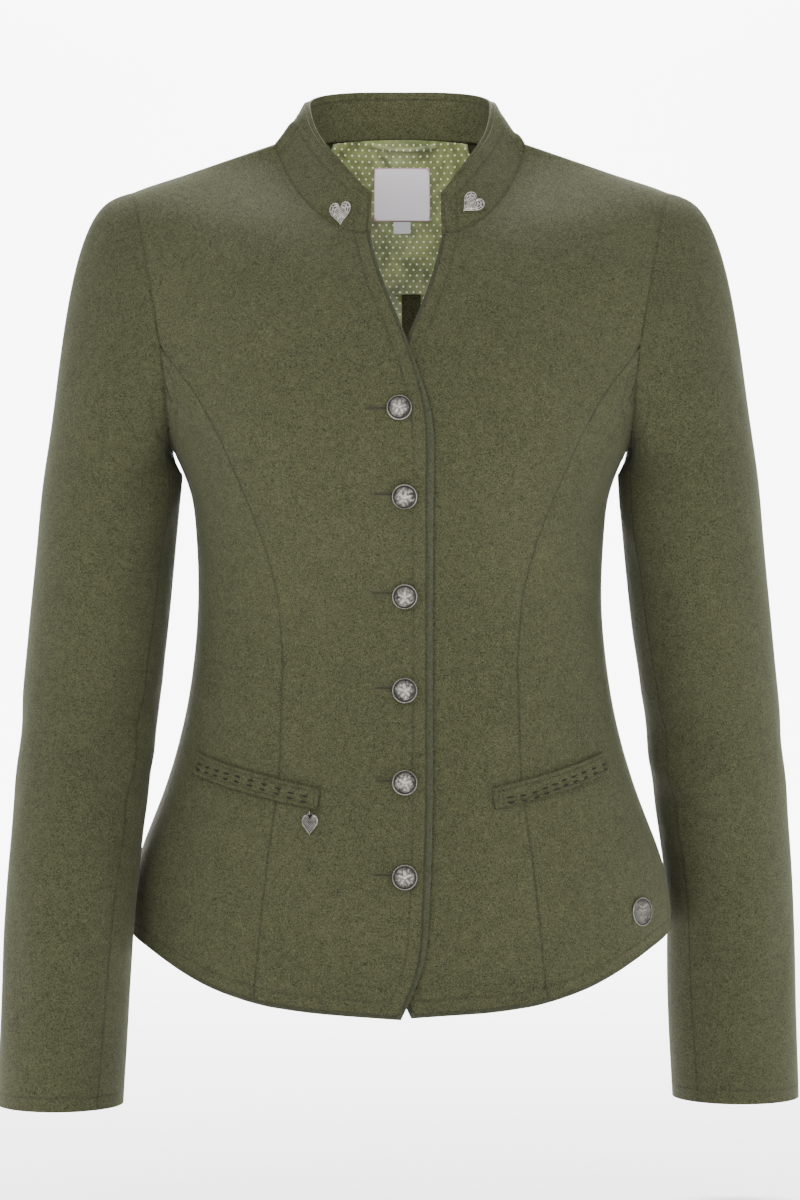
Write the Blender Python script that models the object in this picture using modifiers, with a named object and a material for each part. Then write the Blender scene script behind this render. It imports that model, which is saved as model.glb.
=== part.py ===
"""Trachten blazer: a fitted women's jacket of olive loden, filled out as if worn, with open neck, hem and cuffs.

Metres, +Z up. The front faces -Y and the wearer's right is at -X. The origin lies midway between the two
points where the shoulder seams meet the collar, where the wearer's shoulders carry the jacket.
"""

import math

import bmesh
import bpy
from mathutils import Matrix, Vector

# Cloth
WALL = 0.0022
SEAM_GAP = 0.0003
FACING_WALL = 0.0013
LINING_WALL = 0.0010
LABEL_WALL = 0.0006
WELT_WALL = 0.0018
ON_CLOTH = 0.0005

# Closing: the centre front lies a little to the wearer's left, and the left front passes under the right
CENTRE_FRONT = 0.004
UNDERLAP = 0.0052
UNDERLAP_FULL = 0.026
UNDERLAP_END = 0.062
UNDERLAP_TOP = -0.070
UNDERLAP_FADE = 0.035
NECK_RISE = 0.010
NECK_RISE_END = 0.060
BUST_OUT = 0.015
BUST_X = 0.086
BUST_Z = -0.205
BUST_WIDE = 0.052
BUST_TALL = 0.075
BUST_FADE = 3.0

# How far apart the points are that give the cloth's direction: radians round, metres down
NORMAL_TURN = 0.04
NORMAL_STEP = 0.003

# A cell is halved along its other diagonal where that one is shorter by this share
SLANT_SHARE = 0.85

# Horizontal sections of the jacket: height, half width, depth in front, depth behind, and how round each is
SECTIONS = (
    (0.000, 0.0840, 0.0000, 0.0700, 1.00, 1.15),
    (-0.011, 0.1160, 0.0095, 0.0760, 1.00, 1.60),
    (-0.022, 0.1480, 0.0195, 0.0800, 1.00, 1.70),
    (-0.033, 0.1800, 0.0310, 0.0850, 1.00, 1.65),
    (-0.045, 0.1960, 0.0460, 0.0890, 1.00, 1.50),
    (-0.060, 0.2000, 0.0610, 0.0930, 1.00, 1.35),
    (-0.100, 0.1980, 0.0890, 0.1010, 0.95, 1.10),
    (-0.150, 0.1850, 0.1050, 0.1020, 0.88, 0.95),
    (-0.205, 0.1520, 0.1120, 0.0980, 0.80, 0.85),
    (-0.225, 0.1420, 0.1105, 0.0945, 0.80, 0.85),
    (-0.252, 0.1375, 0.1060, 0.0880, 0.82, 0.86),
    (-0.305, 0.1350, 0.0965, 0.0800, 0.85, 0.88),
    (-0.332, 0.1367, 0.0945, 0.0800, 0.86, 0.88),
    (-0.386, 0.1447, 0.0985, 0.0900, 0.86, 0.86),
    (-0.440, 0.1605, 0.1055, 0.1070, 0.85, 0.85),
    (-0.466, 0.1705, 0.1085, 0.1150, 0.85, 0.85),
    (-0.507, 0.1816, 0.1115, 0.1210, 0.85, 0.85),
    (-0.580, 0.1840, 0.1130, 0.1230, 0.85, 0.85),
)

# Armhole: height and distance from the middle
ARMHOLE_TOP = -0.033
ARMHOLE_BOTTOM = -0.205
ARMHOLE_STEPS = 12
ARMHOLE = (
    (-0.033, 0.1800),
    (-0.045, 0.1752),
    (-0.059, 0.1715),
    (-0.080, 0.1670),
    (-0.100, 0.1632),
    (-0.120, 0.1592),
    (-0.143, 0.1556),
    (-0.175, 0.1525),
    (-0.205, 0.1520),
)
PRINCESS_STEP = 7

# Princess seams below the armhole: height and distance from the middle
FRONT_PRINCESS = (
    (-0.141, 0.1560),
    (-0.156, 0.1427),
    (-0.178, 0.1280),
    (-0.212, 0.1115),
    (-0.267, 0.0886),
    (-0.302, 0.0795),
    (-0.340, 0.0763),
    (-0.416, 0.0780),
    (-0.467, 0.0846),
    (-0.560, 0.0940),
)
BACK_PRINCESS = (
    (-0.141, 0.1560),
    (-0.180, 0.1270),
    (-0.230, 0.0950),
    (-0.300, 0.0680),
    (-0.340, 0.0620),
    (-0.420, 0.0700),
    (-0.560, 0.0860),
)

# Hem: angle round the jacket from the centre front in degrees, and height
HEM = (
    (0, -0.5714),
    (21, -0.5665),
    (37, -0.5583),
    (45, -0.5512),
    (61, -0.5346),
    (72, -0.5270),
    (90, -0.5225),
    (130, -0.5300),
    (180, -0.5400),
)

# Front edge: height, how far the edge passes the centre front, and how far the facing stands beyond it
FRONT_EDGE = (
    (-0.0668, -0.0259, 0.0026),
    (-0.0806, -0.0247, 0.0026),
    (-0.0968, -0.0180, 0.0026),
    (-0.1158, -0.0098, 0.0026),
    (-0.1355, -0.0028, 0.0026),
    (-0.1487, 0.0015, 0.0026),
    (-0.1637, 0.0065, 0.0034),
    (-0.1762, 0.0098, 0.0042),
    (-0.1860, 0.0117, 0.0048),
    (-0.2000, 0.0125, 0.0050),
    (-0.4200, 0.0125, 0.0050),
    (-0.4850, 0.0110, 0.0050),
    (-0.5450, 0.0065, 0.0040),
    (-0.5714, -0.0053, 0.0030),
)
V_HEIGHTS = (-0.0975, -0.1280)

# Neck seam in front, from the shoulder to the collar's end, and the collar's top edge above each of its points
NECK_SEAM = (
    (0.0840, 0.0000),
    (0.0800, -0.0140),
    (0.0705, -0.0350),
    (0.0560, -0.0530),
    (0.0400, -0.0638),
    (0.0259, -0.0668),
)
COLLAR_TOP_FRONT = (
    (0.0640, 0.0030, 0.0252),
    (0.0608, -0.0110, 0.0095),
    (0.0525, -0.0270, -0.0052),
    (0.0400, -0.0430, -0.0205),
    (0.0316, -0.0500, -0.0310),
    (0.0246, -0.0535, -0.0380),
)
COLLAR_TOP_BACK = (
    (0.0635, 0.0270, 0.0318),
    (0.0520, 0.0530, 0.0380),
    (0.0270, 0.0660, 0.0410),
    (0.0000, 0.0700, 0.0415),
)
CENTRE_BACK_HEIGHTS = (-0.035, -0.080, -0.128)
COLLAR_ROWS = 3
COLLAR_STEP = 0.0026
COLLAR_HEIGHT = 0.0350
COLLAR_CLEAR = 0.0008

# Grid of the panels
LOWER_ROWS = 15
FRONT_COLUMNS = 6
SIDE_COLUMNS = 5
BACK_COLUMNS = 8

# Facings and hem
FACING_CLEAR = 0.0006
FACING_WIDTH = 0.012
HEM_FACING_TALL = 0.012
HEM_STEP = 0.003

# Sleeves: height, distance of the middle line from the centre, its place from front to back, half width and
# half depth; the right sleeve swings forward past the hip and the left one back
RIGHT_SLEEVE = (
    (-0.225, 0.1920, 0.000, 0.0466, 0.0580),
    (-0.305, 0.1998, -0.003, 0.0466, 0.0560),
    (-0.386, 0.2066, -0.018, 0.0454, 0.0530),
    (-0.453, 0.2117, -0.043, 0.0437, 0.0505),
    (-0.507, 0.2152, -0.059, 0.0422, 0.0490),
    (-0.573, 0.2183, -0.064, 0.0415, 0.0475),
    (-0.633, 0.2210, -0.067, 0.0410, 0.0460),
)
LEFT_SLEEVE = (
    (-0.225, 0.1930, 0.002, 0.0472, 0.0580),
    (-0.305, 0.2008, 0.008, 0.0472, 0.0560),
    (-0.386, 0.2110, 0.020, 0.0455, 0.0530),
    (-0.453, 0.2189, 0.034, 0.0446, 0.0505),
    (-0.507, 0.2249, 0.045, 0.0430, 0.0490),
    (-0.573, 0.2265, 0.048, 0.0438, 0.0475),
    (-0.644, 0.2290, 0.048, 0.0430, 0.0460),
)
SLEEVE_ROWS = 13
CAP_ROWS = 6
ARMHOLE_GAP = 0.0007
CAP_OUT = Vector((0.64, 0.0, 0.04))
CAP_UNDER = Vector((0.35, 0.0, -0.75))
ARM_OUT = Vector((0.20, 0.0, -1.10))
ARM_UNDER = Vector((0.0, 0.0, -1.0))
FRONT_SEAM_STEP = 10
BACK_SEAM_STEP = 16
FRONT_SEAM_TURN = math.radians(-20)

# Pocket welts: distance from the middle and height of each end, and the welt's height
WELT_OUTER = (0.1334, -0.4122)
WELT_INNER = (0.0560, -0.4335)
WELT_TALL = 0.0138
WELT_COLUMNS = 8

# Lining inside the back: height of its edges, and the half widths
LINING_CLEAR = 0.0024
LINING_TOP = 0.0008
YOKE_BOTTOM = -0.092
LINING_BOTTOM = -0.185
LINING_HALF = 0.078
YOKE_NARROW = 0.62
LINING_STRIP = 0.0065
STRIP_X = 0.0080
LABEL_WIDE = 0.0405
LABEL_TOP = -0.0140
LABEL_BOTTOM = -0.0433
LABEL_X = 0.0014
LABEL_CLEAR = 0.0010
TAB_WIDE = 0.0123
TAB_BOTTOM = -0.0507
LOOP_HALF = 0.0246
LOOP_X = 0.0030
LOOP_SAG = 0.0040
LOOP_RADIUS = 0.0012
LOOP_CLEAR = 0.0016

# Buttons
BUTTON_HEIGHTS = (-0.183, -0.239, -0.303, -0.364, -0.423, -0.483)
BUTTON_XS = (-0.0005, 0.003, 0.003, 0.003, 0.003, 0.003)
BUTTON_STAND = 0.0009
BUTTON_RADIUS = 0.0081
SHANK_RADIUS = 0.0028
SHANK_TALL = 0.0012
BUTTON_EDGE = 0.0014
BUTTON_TALL = 0.0044

# Hearts and badge
STUD_WIDE = 0.0140
STUD_TALL = 0.0152
STUD_THICK = 0.0016
STUD_STAND = 0.0007

# Each stud's columns from its end of the collar, its share of the collar's height, and its turn in degrees
RIGHT_STUD = (1.22, 0.215, 8)
LEFT_STUD = (1.36, 0.335, -55)
BADGE_RADIUS = 0.0095
BADGE_THICK = 0.0018
BADGE_STAND = -0.0006
BADGE_X = 0.158
BADGE_Z = -0.509

# Charm: a heart with an eye, hanging on a staple that is sewn to the right front
CHARM_X = -0.0575
CHARM_Z = -0.4440
CHARM_WIDE = 0.0110
CHARM_TALL = 0.0122
CHARM_THICK = 0.0014
CHARM_STAND = 0.0015
EYE_RADIUS = 0.0020
WIRE_RADIUS = 0.00045
STAPLE_RADIUS = 0.0016
STAPLE_FOOT = 0.0005
STAPLE_STEPS = 8
LEG_ABOVE_EYE = 0.00075
CHARM_NOTCH = 0.0022
HEART_STEPS = 24
BUTTON_STEPS = 16
LOOP_STEPS = 10

OLIVE = (0.107, 0.112, 0.054, 1.0)
OLIVE_DARK = (0.078, 0.083, 0.042, 1.0)
FACING_GREY = (0.062, 0.064, 0.040, 1.0)
LINING_GREEN = (0.190, 0.215, 0.070, 1.0)
LABEL_WHITE = (0.640, 0.600, 0.640, 1.0)
SILVER = (0.360, 0.350, 0.320, 1.0)


def material(name, colour, roughness, metallic=0.0):
    """A plain Principled material"""
    made = bpy.data.materials.new(name)
    made.use_nodes = True
    shader = made.node_tree.nodes["Principled BSDF"]
    shader.inputs["Base Color"].default_value = colour
    shader.inputs["Roughness"].default_value = roughness
    shader.inputs["Metallic"].default_value = metallic
    return made


def along(rows, key, column):
    """A column of a table at a key, on a smooth curve that never passes its rows' values"""
    keys = [row[0] for row in rows]
    if keys[0] > keys[-1]:
        keys = [-value for value in keys]
        key = -key
    values = [row[column] for row in rows]
    last = len(keys) - 1
    if key <= keys[0]:
        return values[0]
    if key >= keys[last]:
        return values[last]
    spot = max(index for index in range(last) if keys[index] <= key)
    slopes = [(values[i + 1] - values[i]) / (keys[i + 1] - keys[i]) for i in range(last)]

    def lean(index):
        if index == 0:
            return slopes[0]
        if index == last:
            return slopes[-1]
        before = slopes[index - 1]
        after = slopes[index]
        if before * after <= 0:
            return 0.0
        return 2 * before * after / (before + after)

    width = keys[spot + 1] - keys[spot]
    t = (key - keys[spot]) / width
    start = (2 * t**3 - 3 * t**2 + 1) * values[spot] + (t**3 - 2 * t**2 + t) * width * lean(spot)
    end = (3 * t**2 - 2 * t**3) * values[spot + 1] + (t**3 - t**2) * width * lean(spot + 1)
    return start + end


def smooth(value):
    """0 below 0, 1 above 1, and a soft step between"""
    t = min(1.0, max(0.0, value))
    return t * t * (3 - 2 * t)


def body_point(angle, height):
    """A point of the jacket's outside: angle 0 at the centre front and 90 degrees at the left side seam"""
    half = along(SECTIONS, height, 1)
    turn = math.cos(angle)
    x = half * math.sin(angle)
    if turn >= 0:
        y = -along(SECTIONS, height, 2) * turn ** along(SECTIONS, height, 4)
        across = (abs(x) - BUST_X) / BUST_WIDE
        up = (height - BUST_Z) / BUST_TALL
        y -= BUST_OUT * math.exp(-across**2 - up**2) * smooth(turn * BUST_FADE)
        return Vector((x, y, height))
    y = along(SECTIONS, height, 3) * (-turn) ** along(SECTIONS, height, 5)
    rise = NECK_RISE * turn**2 * smooth(1 + height / NECK_RISE_END)
    return Vector((x, y, height + rise))


def body_normal(angle, height):
    """The direction that points out of the cloth, the same for every piece that meets at a seam"""
    top = min(height + NORMAL_STEP, 0.0)
    round_way = body_point(angle + NORMAL_TURN, height) - body_point(angle - NORMAL_TURN, height)
    up_way = body_point(angle, top) - body_point(angle, top - 2 * NORMAL_STEP)
    return round_way.cross(up_way).normalized()


def cloth(angle, height, depth):
    """A point under the outside of the cloth, or over it where the depth is negative"""
    return body_point(angle, height) - body_normal(angle, height) * depth


def angle_at(x, height, back=False):
    """The angle round the jacket where it is x from the middle"""
    half = along(SECTIONS, height, 1)
    angle = math.asin(max(-1.0, min(1.0, x / half)))
    if not back:
        return angle
    if x < 0:
        return -math.pi - angle
    return math.pi - angle


def hem_height(angle):
    """The height of the hem at an angle round the jacket"""
    return along(HEM, abs(math.degrees(angle)), 1)


def new_object(name, mesh, parent, collection, finish):
    """Put a mesh in the jacket's collection, under its body's empty"""
    made = bpy.data.objects.new(name, mesh)
    made.data.materials.append(finish)
    made.parent = parent
    collection.objects.link(made)
    return made


def slanted(grid, row, column):
    """Whether a cell leans so far that only its other diagonal leaves no thin triangle"""
    usual = (grid[row][column] - grid[row + 1][column + 1]).length
    other = (grid[row + 1][column] - grid[row][column + 1]).length
    return other < usual * SLANT_SHARE


def wall_mesh(name, outer, inner):
    """A closed wall between two grids of points; each cell is halved the same way in both layers"""
    rows = len(outer)
    columns = len(outer[0])
    points = [point for grid in (outer, inner) for row in grid for point in row]
    half = rows * columns
    faces = []

    def spot(layer, row, column):
        return layer * half + row * columns + column

    across = columns - 1
    for row in range(rows - 1):
        for column in range(across):
            corners = [(row, column), (row + 1, column), (row + 1, column + 1), (row, column + 1)]
            if slanted(outer, row, column):
                corners = corners[1:] + corners[:1]
            for three in (corners[:3], [corners[0], *corners[2:]]):
                faces.append([spot(0, *corner) for corner in three])
                faces.append([spot(1, *corner) for corner in reversed(three)])
    for column in range(across):
        faces.append([spot(0, 0, column), spot(0, 0, column + 1), spot(1, 0, column + 1), spot(1, 0, column)])
        end = rows - 1
        faces.append([spot(0, end, column + 1), spot(0, end, column), spot(1, end, column), spot(1, end, column + 1)])
    for row in range(rows - 1):
        faces.append([spot(0, row + 1, 0), spot(0, row, 0), spot(1, row, 0), spot(1, row + 1, 0)])
        faces.append([spot(0, row, across), spot(0, row + 1, across), spot(1, row + 1, across), spot(1, row, across)])
    mesh = bpy.data.meshes.new(name)
    mesh.from_pydata(points, [], faces)
    mesh.shade_smooth()
    mesh.set_sharp_from_angle(angle=math.radians(40))
    return mesh


def inset(outer, inner, gap):
    """Draw the edges of a wall in by half a seam's gap"""
    rows = len(outer)
    columns = len(outer[0])
    moves = [[Vector((0, 0, 0)) for _ in range(columns)] for _ in range(rows)]
    for column in range(columns):
        moves[0][column] += (outer[1][column] - outer[0][column]).normalized() * gap
        moves[-1][column] += (outer[-2][column] - outer[-1][column]).normalized() * gap
    for row in range(rows):
        moves[row][0] += (outer[row][1] - outer[row][0]).normalized() * gap
        moves[row][-1] += (outer[row][-2] - outer[row][-1]).normalized() * gap
    drawn = []
    for grid in (outer, inner):
        drawn.append([[grid[r][c] + moves[r][c] for c in range(columns)] for r in range(rows)])
    return drawn


def build_wall(name, outer, inner, parent, collection, finish, gap=SEAM_GAP / 2):
    """One closed wall as an object, its edges drawn in by half a seam's gap and its faces pointing out"""
    if gap:
        outer, inner = inset(outer, inner, gap)
    mesh = wall_mesh(name, outer, inner)
    shell = bmesh.new()
    shell.from_mesh(mesh)
    if shell.calc_volume(signed=True) < 0:
        bmesh.ops.reverse_faces(shell, faces=shell.faces)
        shell.to_mesh(mesh)
    shell.free()
    return new_object(name, mesh, parent, collection, finish)


def underlap(angle, height):
    """How far the left front lies under the right one"""
    x = body_point(angle, height).x
    sideways = 1 - smooth((x - UNDERLAP_FULL) / (UNDERLAP_END - UNDERLAP_FULL))
    upwards = smooth((UNDERLAP_TOP - height) / UNDERLAP_FADE)
    return UNDERLAP * sideways * upwards


def lay_rows(line_a, line_b, columns):
    """Angles and heights of a panel's grid between two side lines, with its last row on the hem"""
    last = len(line_a) - 1
    grid = []
    for index, (start, end) in enumerate(zip(line_a, line_b)):
        row = []
        pull = (index / last) ** 3
        for column in range(columns + 1):
            share = column / columns
            angle = start[0] + (end[0] - start[0]) * share
            height = start[1] + (end[1] - start[1]) * share
            bottom = line_a[last][0] + (line_b[last][0] - line_a[last][0]) * share
            level = line_a[last][1] + (line_b[last][1] - line_a[last][1]) * share
            height += (hem_height(bottom) - level) * pull
            row.append((angle, height))
        grid.append(row)
    return grid


def armhole_spot(step, back=False):
    """The angle and height of one step down the armhole, from the shoulder to the underarm"""
    share = (1 - math.cos(math.pi * step / ARMHOLE_STEPS)) / 2
    height = ARMHOLE_TOP + (ARMHOLE_BOTTOM - ARMHOLE_TOP) * share
    if step in (0, ARMHOLE_STEPS):
        return math.pi / 2, height
    return angle_at(along(ARMHOLE, height, 1), height, back), height


def seam_spots(table, back=False):
    """Angles and heights down a princess seam, from the armhole to the hem"""
    top = armhole_spot(PRINCESS_STEP, back)
    bottom = angle_at(table[-1][1], table[-1][0], back)
    end = hem_height(bottom)
    spots = [top]
    for row in range(1, LOWER_ROWS + 1):
        height = top[1] + (end - top[1]) * row / LOWER_ROWS
        spots.append((angle_at(along(table, height, 1), height, back), height))
    return spots


def side_spots():
    """Angles and heights from the armhole's lower part down the side seam"""
    count = LOWER_ROWS - (ARMHOLE_STEPS - PRINCESS_STEP - 1)
    spots = []
    for row in range(1, count + 1):
        height = ARMHOLE_BOTTOM + (hem_height(math.pi / 2) - ARMHOLE_BOTTOM) * row / count
        spots.append((math.pi / 2, height))
    return spots


def mirrored(spots, side):
    """The same line on the wearer's right, where the side is -1"""
    return [(angle * side, height) for angle, height in spots]


def front_edge_spot(height, side):
    """The front edge at a height; it passes the centre front towards the other side"""
    x = CENTRE_FRONT - side * along(FRONT_EDGE, height, 1)
    return angle_at(x, height), height


def front_edge_heights():
    """The heights of the front's rows below the collar"""
    start = V_HEIGHTS[-1]
    end = FRONT_EDGE[-1][0]
    lower = [start + (end - start) * row / LOWER_ROWS for row in range(1, LOWER_ROWS + 1)]
    return list(V_HEIGHTS) + lower


def neck_spot(step, side):
    """A point of the neck seam in front, where step 0 is at the shoulder"""
    x, height = NECK_SEAM[step]
    if step == 0:
        return side * math.pi / 2, height
    shift = CENTRE_FRONT * step / (len(NECK_SEAM) - 1)
    return angle_at(side * x + shift, height), height


def surface_grids(spots, depth, wall, side=0):
    """The outer and inner points of a wall at a depth under the cloth's outside; side 1 is the left front"""
    outer = []
    inner = []
    for row in spots:
        extra = [underlap(*spot) if side == 1 else 0.0 for spot in row]
        outer.append([cloth(*spot, depth + more) for spot, more in zip(row, extra)])
        inner.append([cloth(*spot, depth + wall + more) for spot, more in zip(row, extra)])
    return outer, inner


def straighten_top(grids):
    """Make the first row of a side panel straight, as the armhole's own step is"""
    for grid in grids:
        row = grid[0]
        last = len(row) - 1
        for column in range(1, last):
            row[column] = row[0].lerp(row[last], column / last)


def front_grids(side):
    """The outer and inner points of a front; side 1 is the left one, which lies under"""
    inner_line = [neck_spot(step, side) for step in range(len(NECK_SEAM))]
    inner_line += [front_edge_spot(height, side) for height in front_edge_heights()]
    outer_line = [armhole_spot(step) for step in range(PRINCESS_STEP)] + seam_spots(FRONT_PRINCESS)
    spots = lay_rows(inner_line, mirrored(outer_line, side), FRONT_COLUMNS)
    return surface_grids(spots, 0.0, WALL, side)


def side_grids(side, back):
    """The outer and inner points of a side panel, between a princess seam and the side seam"""
    table = BACK_PRINCESS if back else FRONT_PRINCESS
    armhole = [armhole_spot(step, back) for step in range(PRINCESS_STEP + 1, ARMHOLE_STEPS + 1)]
    outer_line = mirrored(armhole + side_spots(), side)
    inner_line = mirrored(seam_spots(table, back), side)
    grids = surface_grids(lay_rows(inner_line, outer_line, SIDE_COLUMNS), 0.0, WALL)
    straighten_top(grids)
    return grids


def back_neck_spots():
    """The neck seam behind, from the shoulder to the centre back"""
    steps = len(COLLAR_TOP_BACK)
    return [(math.pi / 2 * (1 + step / steps), 0.0) for step in range(steps + 1)]


def back_grids(side):
    """The outer and inner points of a back, between the centre back and the armhole and princess seam"""
    start = CENTRE_BACK_HEIGHTS[-1]
    end = hem_height(math.pi)
    down = [(math.pi, height) for height in CENTRE_BACK_HEIGHTS]
    down += [(math.pi, start + (end - start) * row / LOWER_ROWS) for row in range(1, LOWER_ROWS + 1)]
    armhole = [armhole_spot(step, True) for step in range(PRINCESS_STEP)]
    outer_line = armhole + seam_spots(BACK_PRINCESS, True)
    spots = lay_rows(mirrored(back_neck_spots() + down, side), mirrored(outer_line, side), BACK_COLUMNS)
    return surface_grids(spots, 0.0, WALL)


def build_panels(parent, collection, finish):
    for side, word in ((-1, "right"), (1, "left")):
        build_wall(f"{word}_front", *front_grids(side), parent, collection, finish)
        build_wall(f"{word}_side_front", *side_grids(side, False), parent, collection, finish)
        build_wall(f"{word}_side_back", *side_grids(side, True), parent, collection, finish)
        build_wall(f"{word}_back", *back_grids(side), parent, collection, finish)


def sleeve_centre(height, side):
    """The middle of a sleeve's section, its half width and its half depth"""
    table = RIGHT_SLEEVE if side < 0 else LEFT_SLEEVE
    x, y, half_wide, half_deep = [along(table, height, column) for column in range(1, 5)]
    return Vector((side * x, y, height)), half_wide, half_deep


def sleeve_ring_point(height, turn, side):
    """A point of a sleeve's section; turn 0 is the outer side, 90 degrees the front"""
    centre, half_wide, half_deep = sleeve_centre(height, side)
    return centre + Vector((side * half_wide * math.cos(turn), -half_deep * math.sin(turn), 0))


def armhole_point(step, side):
    """A point of the armhole, step 0 at the shoulder, going down the front and up the back"""
    back = step > ARMHOLE_STEPS
    down = 2 * ARMHOLE_STEPS - step if back else step
    angle, height = armhole_spot(down, back)
    return cloth(angle * side, height, 0.0)


def sleeve_points(side):
    """The sleeve's outer points, a ring in each row, from the armhole over the cap and down to the cuff"""
    count = 2 * ARMHOLE_STEPS
    table = RIGHT_SLEEVE if side < 0 else LEFT_SLEEVE
    top = table[0][0]
    cuff = table[-1][0]
    rows = []
    for row in range(CAP_ROWS):
        t = row / CAP_ROWS
        ring = []
        for step in range(count):
            turn = 2 * math.pi * step / count
            start = armhole_point(step, side) + Vector((side * ARMHOLE_GAP, 0, 0))
            end = sleeve_ring_point(top, turn, side)
            reach = (end - start).length
            under = (1 - math.cos(turn)) / 2
            leave = CAP_OUT.lerp(CAP_UNDER, under)
            leave = Vector((side * leave.x, leave.y, leave.z)) * reach
            arrive = ARM_OUT.lerp(ARM_UNDER, under)
            arrive = Vector((side * arrive.x, arrive.y, arrive.z)) * reach
            point = start * (2 * t**3 - 3 * t**2 + 1) + end * (3 * t**2 - 2 * t**3)
            point += leave * (t**3 - 2 * t**2 + t) + arrive * (t**3 - t**2)
            ring.append(point)
        rows.append(ring)
    for row in range(SLEEVE_ROWS + 1):
        share = row / SLEEVE_ROWS
        height = top + (cuff - top) * share
        ring = []
        for step in range(count):
            turn = 2 * math.pi * step / count + FRONT_SEAM_TURN * share * seam_pull(step)
            ring.append(sleeve_ring_point(height, turn, side))
        rows.append(ring)
    return rows


def seam_pull(step):
    """How much a step round the sleeve moves with the front seam, which swings forward towards the cuff"""
    if step <= FRONT_SEAM_STEP:
        return smooth(step / FRONT_SEAM_STEP)
    return smooth((BACK_SEAM_STEP - step) / (BACK_SEAM_STEP - FRONT_SEAM_STEP))


def wall_inside(rows, wall, side):
    """The inner points of a tube's wall, along normals shared by every piece of the tube"""
    inside = []
    last = len(rows) - 1
    for index, row in enumerate(rows):
        count = len(row)
        ring = []
        for step, point in enumerate(row):
            round_way = row[(step + 1) % count] - row[step - 1]
            down = rows[min(index + 1, last)][step] - rows[max(index - 1, 0)][step]
            normal = round_way.cross(down).normalized() * side
            ring.append(point - normal * wall)
        inside.append(ring)
    return inside


def build_sleeves(parent, collection, finish):
    for side, word in ((-1, "right"), (1, "left")):
        outer = sleeve_points(side)
        inner = wall_inside(outer, WALL, side)
        count = 2 * ARMHOLE_STEPS
        upper = [step % count for step in range(BACK_SEAM_STEP, count + FRONT_SEAM_STEP + 1)]
        under = list(range(FRONT_SEAM_STEP, BACK_SEAM_STEP + 1))
        for place, steps in (("upper", upper), ("under", under)):
            grids = [[[row[step] for step in steps] for row in grid] for grid in (outer, inner)]
            build_wall(f"{word}_{place}_sleeve", *grids, parent, collection, finish)


def collar_lines():
    """The collar's lower and upper lines, from its right end round the back of the neck to its left end"""
    steps = len(NECK_SEAM) - 1
    lines = []
    for side in (-1, 1):
        lower = [cloth(*neck_spot(step, side), 0.0) for step in range(steps, -1, -1)]
        upper = []
        for step in range(steps, -1, -1):
            x, y, z = COLLAR_TOP_FRONT[step]
            upper.append(Vector((side * x + CENTRE_FRONT * step / steps, y, z)))
        for spot, (x, y, z) in zip(mirrored(back_neck_spots()[1:], side), COLLAR_TOP_BACK):
            lower.append(cloth(*spot, 0.0))
            upper.append(Vector((side * x, y, z)))
        lines.append((lower, upper))
    (right_low, right_top), (left_low, left_top) = lines
    return right_low + left_low[-2::-1], right_top + left_top[-2::-1]


def collar_normals():
    """The direction that points out of the collar at each of its columns"""
    lower, upper = collar_lines()
    last = len(lower) - 1
    normals = []
    for column in range(last + 1):
        before = max(column - 1, 0)
        after = min(column + 1, last)
        round_way = lower[before].lerp(upper[before], 0.5) - lower[after].lerp(upper[after], 0.5)
        normals.append(round_way.cross(upper[column] - lower[column]).normalized())
    return normals


def between(points, column):
    """The point at a column that may lie between two"""
    first = min(int(column), len(points) - 2)
    return points[first].lerp(points[first + 1], column - first)


def collar_grids(depth, wall, beyond=0.0):
    """The collar's wall; a facing's reaches a step beyond the top edge and the two ends"""
    lower, upper = collar_lines()
    normals = collar_normals()
    low = COLLAR_CLEAR / COLLAR_HEIGHT
    grids = []
    for down in (depth, depth + wall):
        grid = []
        for row in range(COLLAR_ROWS + 1):
            share = low + (1 - low) * row / COLLAR_ROWS
            grid.append([a.lerp(b, share) - n * down for a, b, n in zip(lower, upper, normals)])
        if beyond:
            top = [a + (a - b).normalized() * beyond for a, b in zip(grid[-1], grid[-2])]
            grid.append(top)
            for points in grid:
                points.insert(0, points[0] + (points[0] - points[1]).normalized() * beyond)
                points.append(points[-1] + (points[-1] - points[-2]).normalized() * beyond)
        grids.append(grid)
    return grids


def build_collar(parent, collection, finish, facing_finish):
    build_wall("collar", *collar_grids(0.0, WALL), parent, collection, finish)
    facing = collar_grids(WALL + SEAM_GAP, FACING_WALL, COLLAR_STEP)
    build_wall("collar_facing", *facing, parent, collection, facing_finish)


def strip_grids(stations):
    """A facing behind a raw edge: each station has an edge point, the point inside it, and its reach beyond"""
    outer = []
    inner = []
    for edge, near, under, beyond, width in stations:
        inward = (near - edge).normalized()
        out = (edge - under).normalized()
        line = [edge - inward * beyond, edge + inward * width]
        outer.append([point - out * (WALL + FACING_CLEAR) for point in line])
        inner.append([point - out * (WALL + FACING_CLEAR + FACING_WALL) for point in line])
    return outer, inner


def build_front_facings(parent, collection, finish):
    first = len(NECK_SEAM) - 1
    heights = [NECK_SEAM[-1][1]] + front_edge_heights()
    for side, word in ((-1, "right"), (1, "left")):
        outer, inner = front_grids(side)
        stations = []
        for row, height in enumerate(heights, first):
            step = along(FRONT_EDGE, height, 2)
            drop = Vector((0, 0, 0))
            if row == len(outer) - 1:
                drop = (outer[row][1] - outer[row - 1][1]).normalized() * HEM_STEP
            edge = outer[row][0] + drop
            stations.append((edge, outer[row][1] + drop, inner[row][0] + drop, step, FACING_WIDTH))
        grids = strip_grids(stations)
        build_wall(f"{word}_front_facing", *grids, parent, collection, finish)


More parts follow.
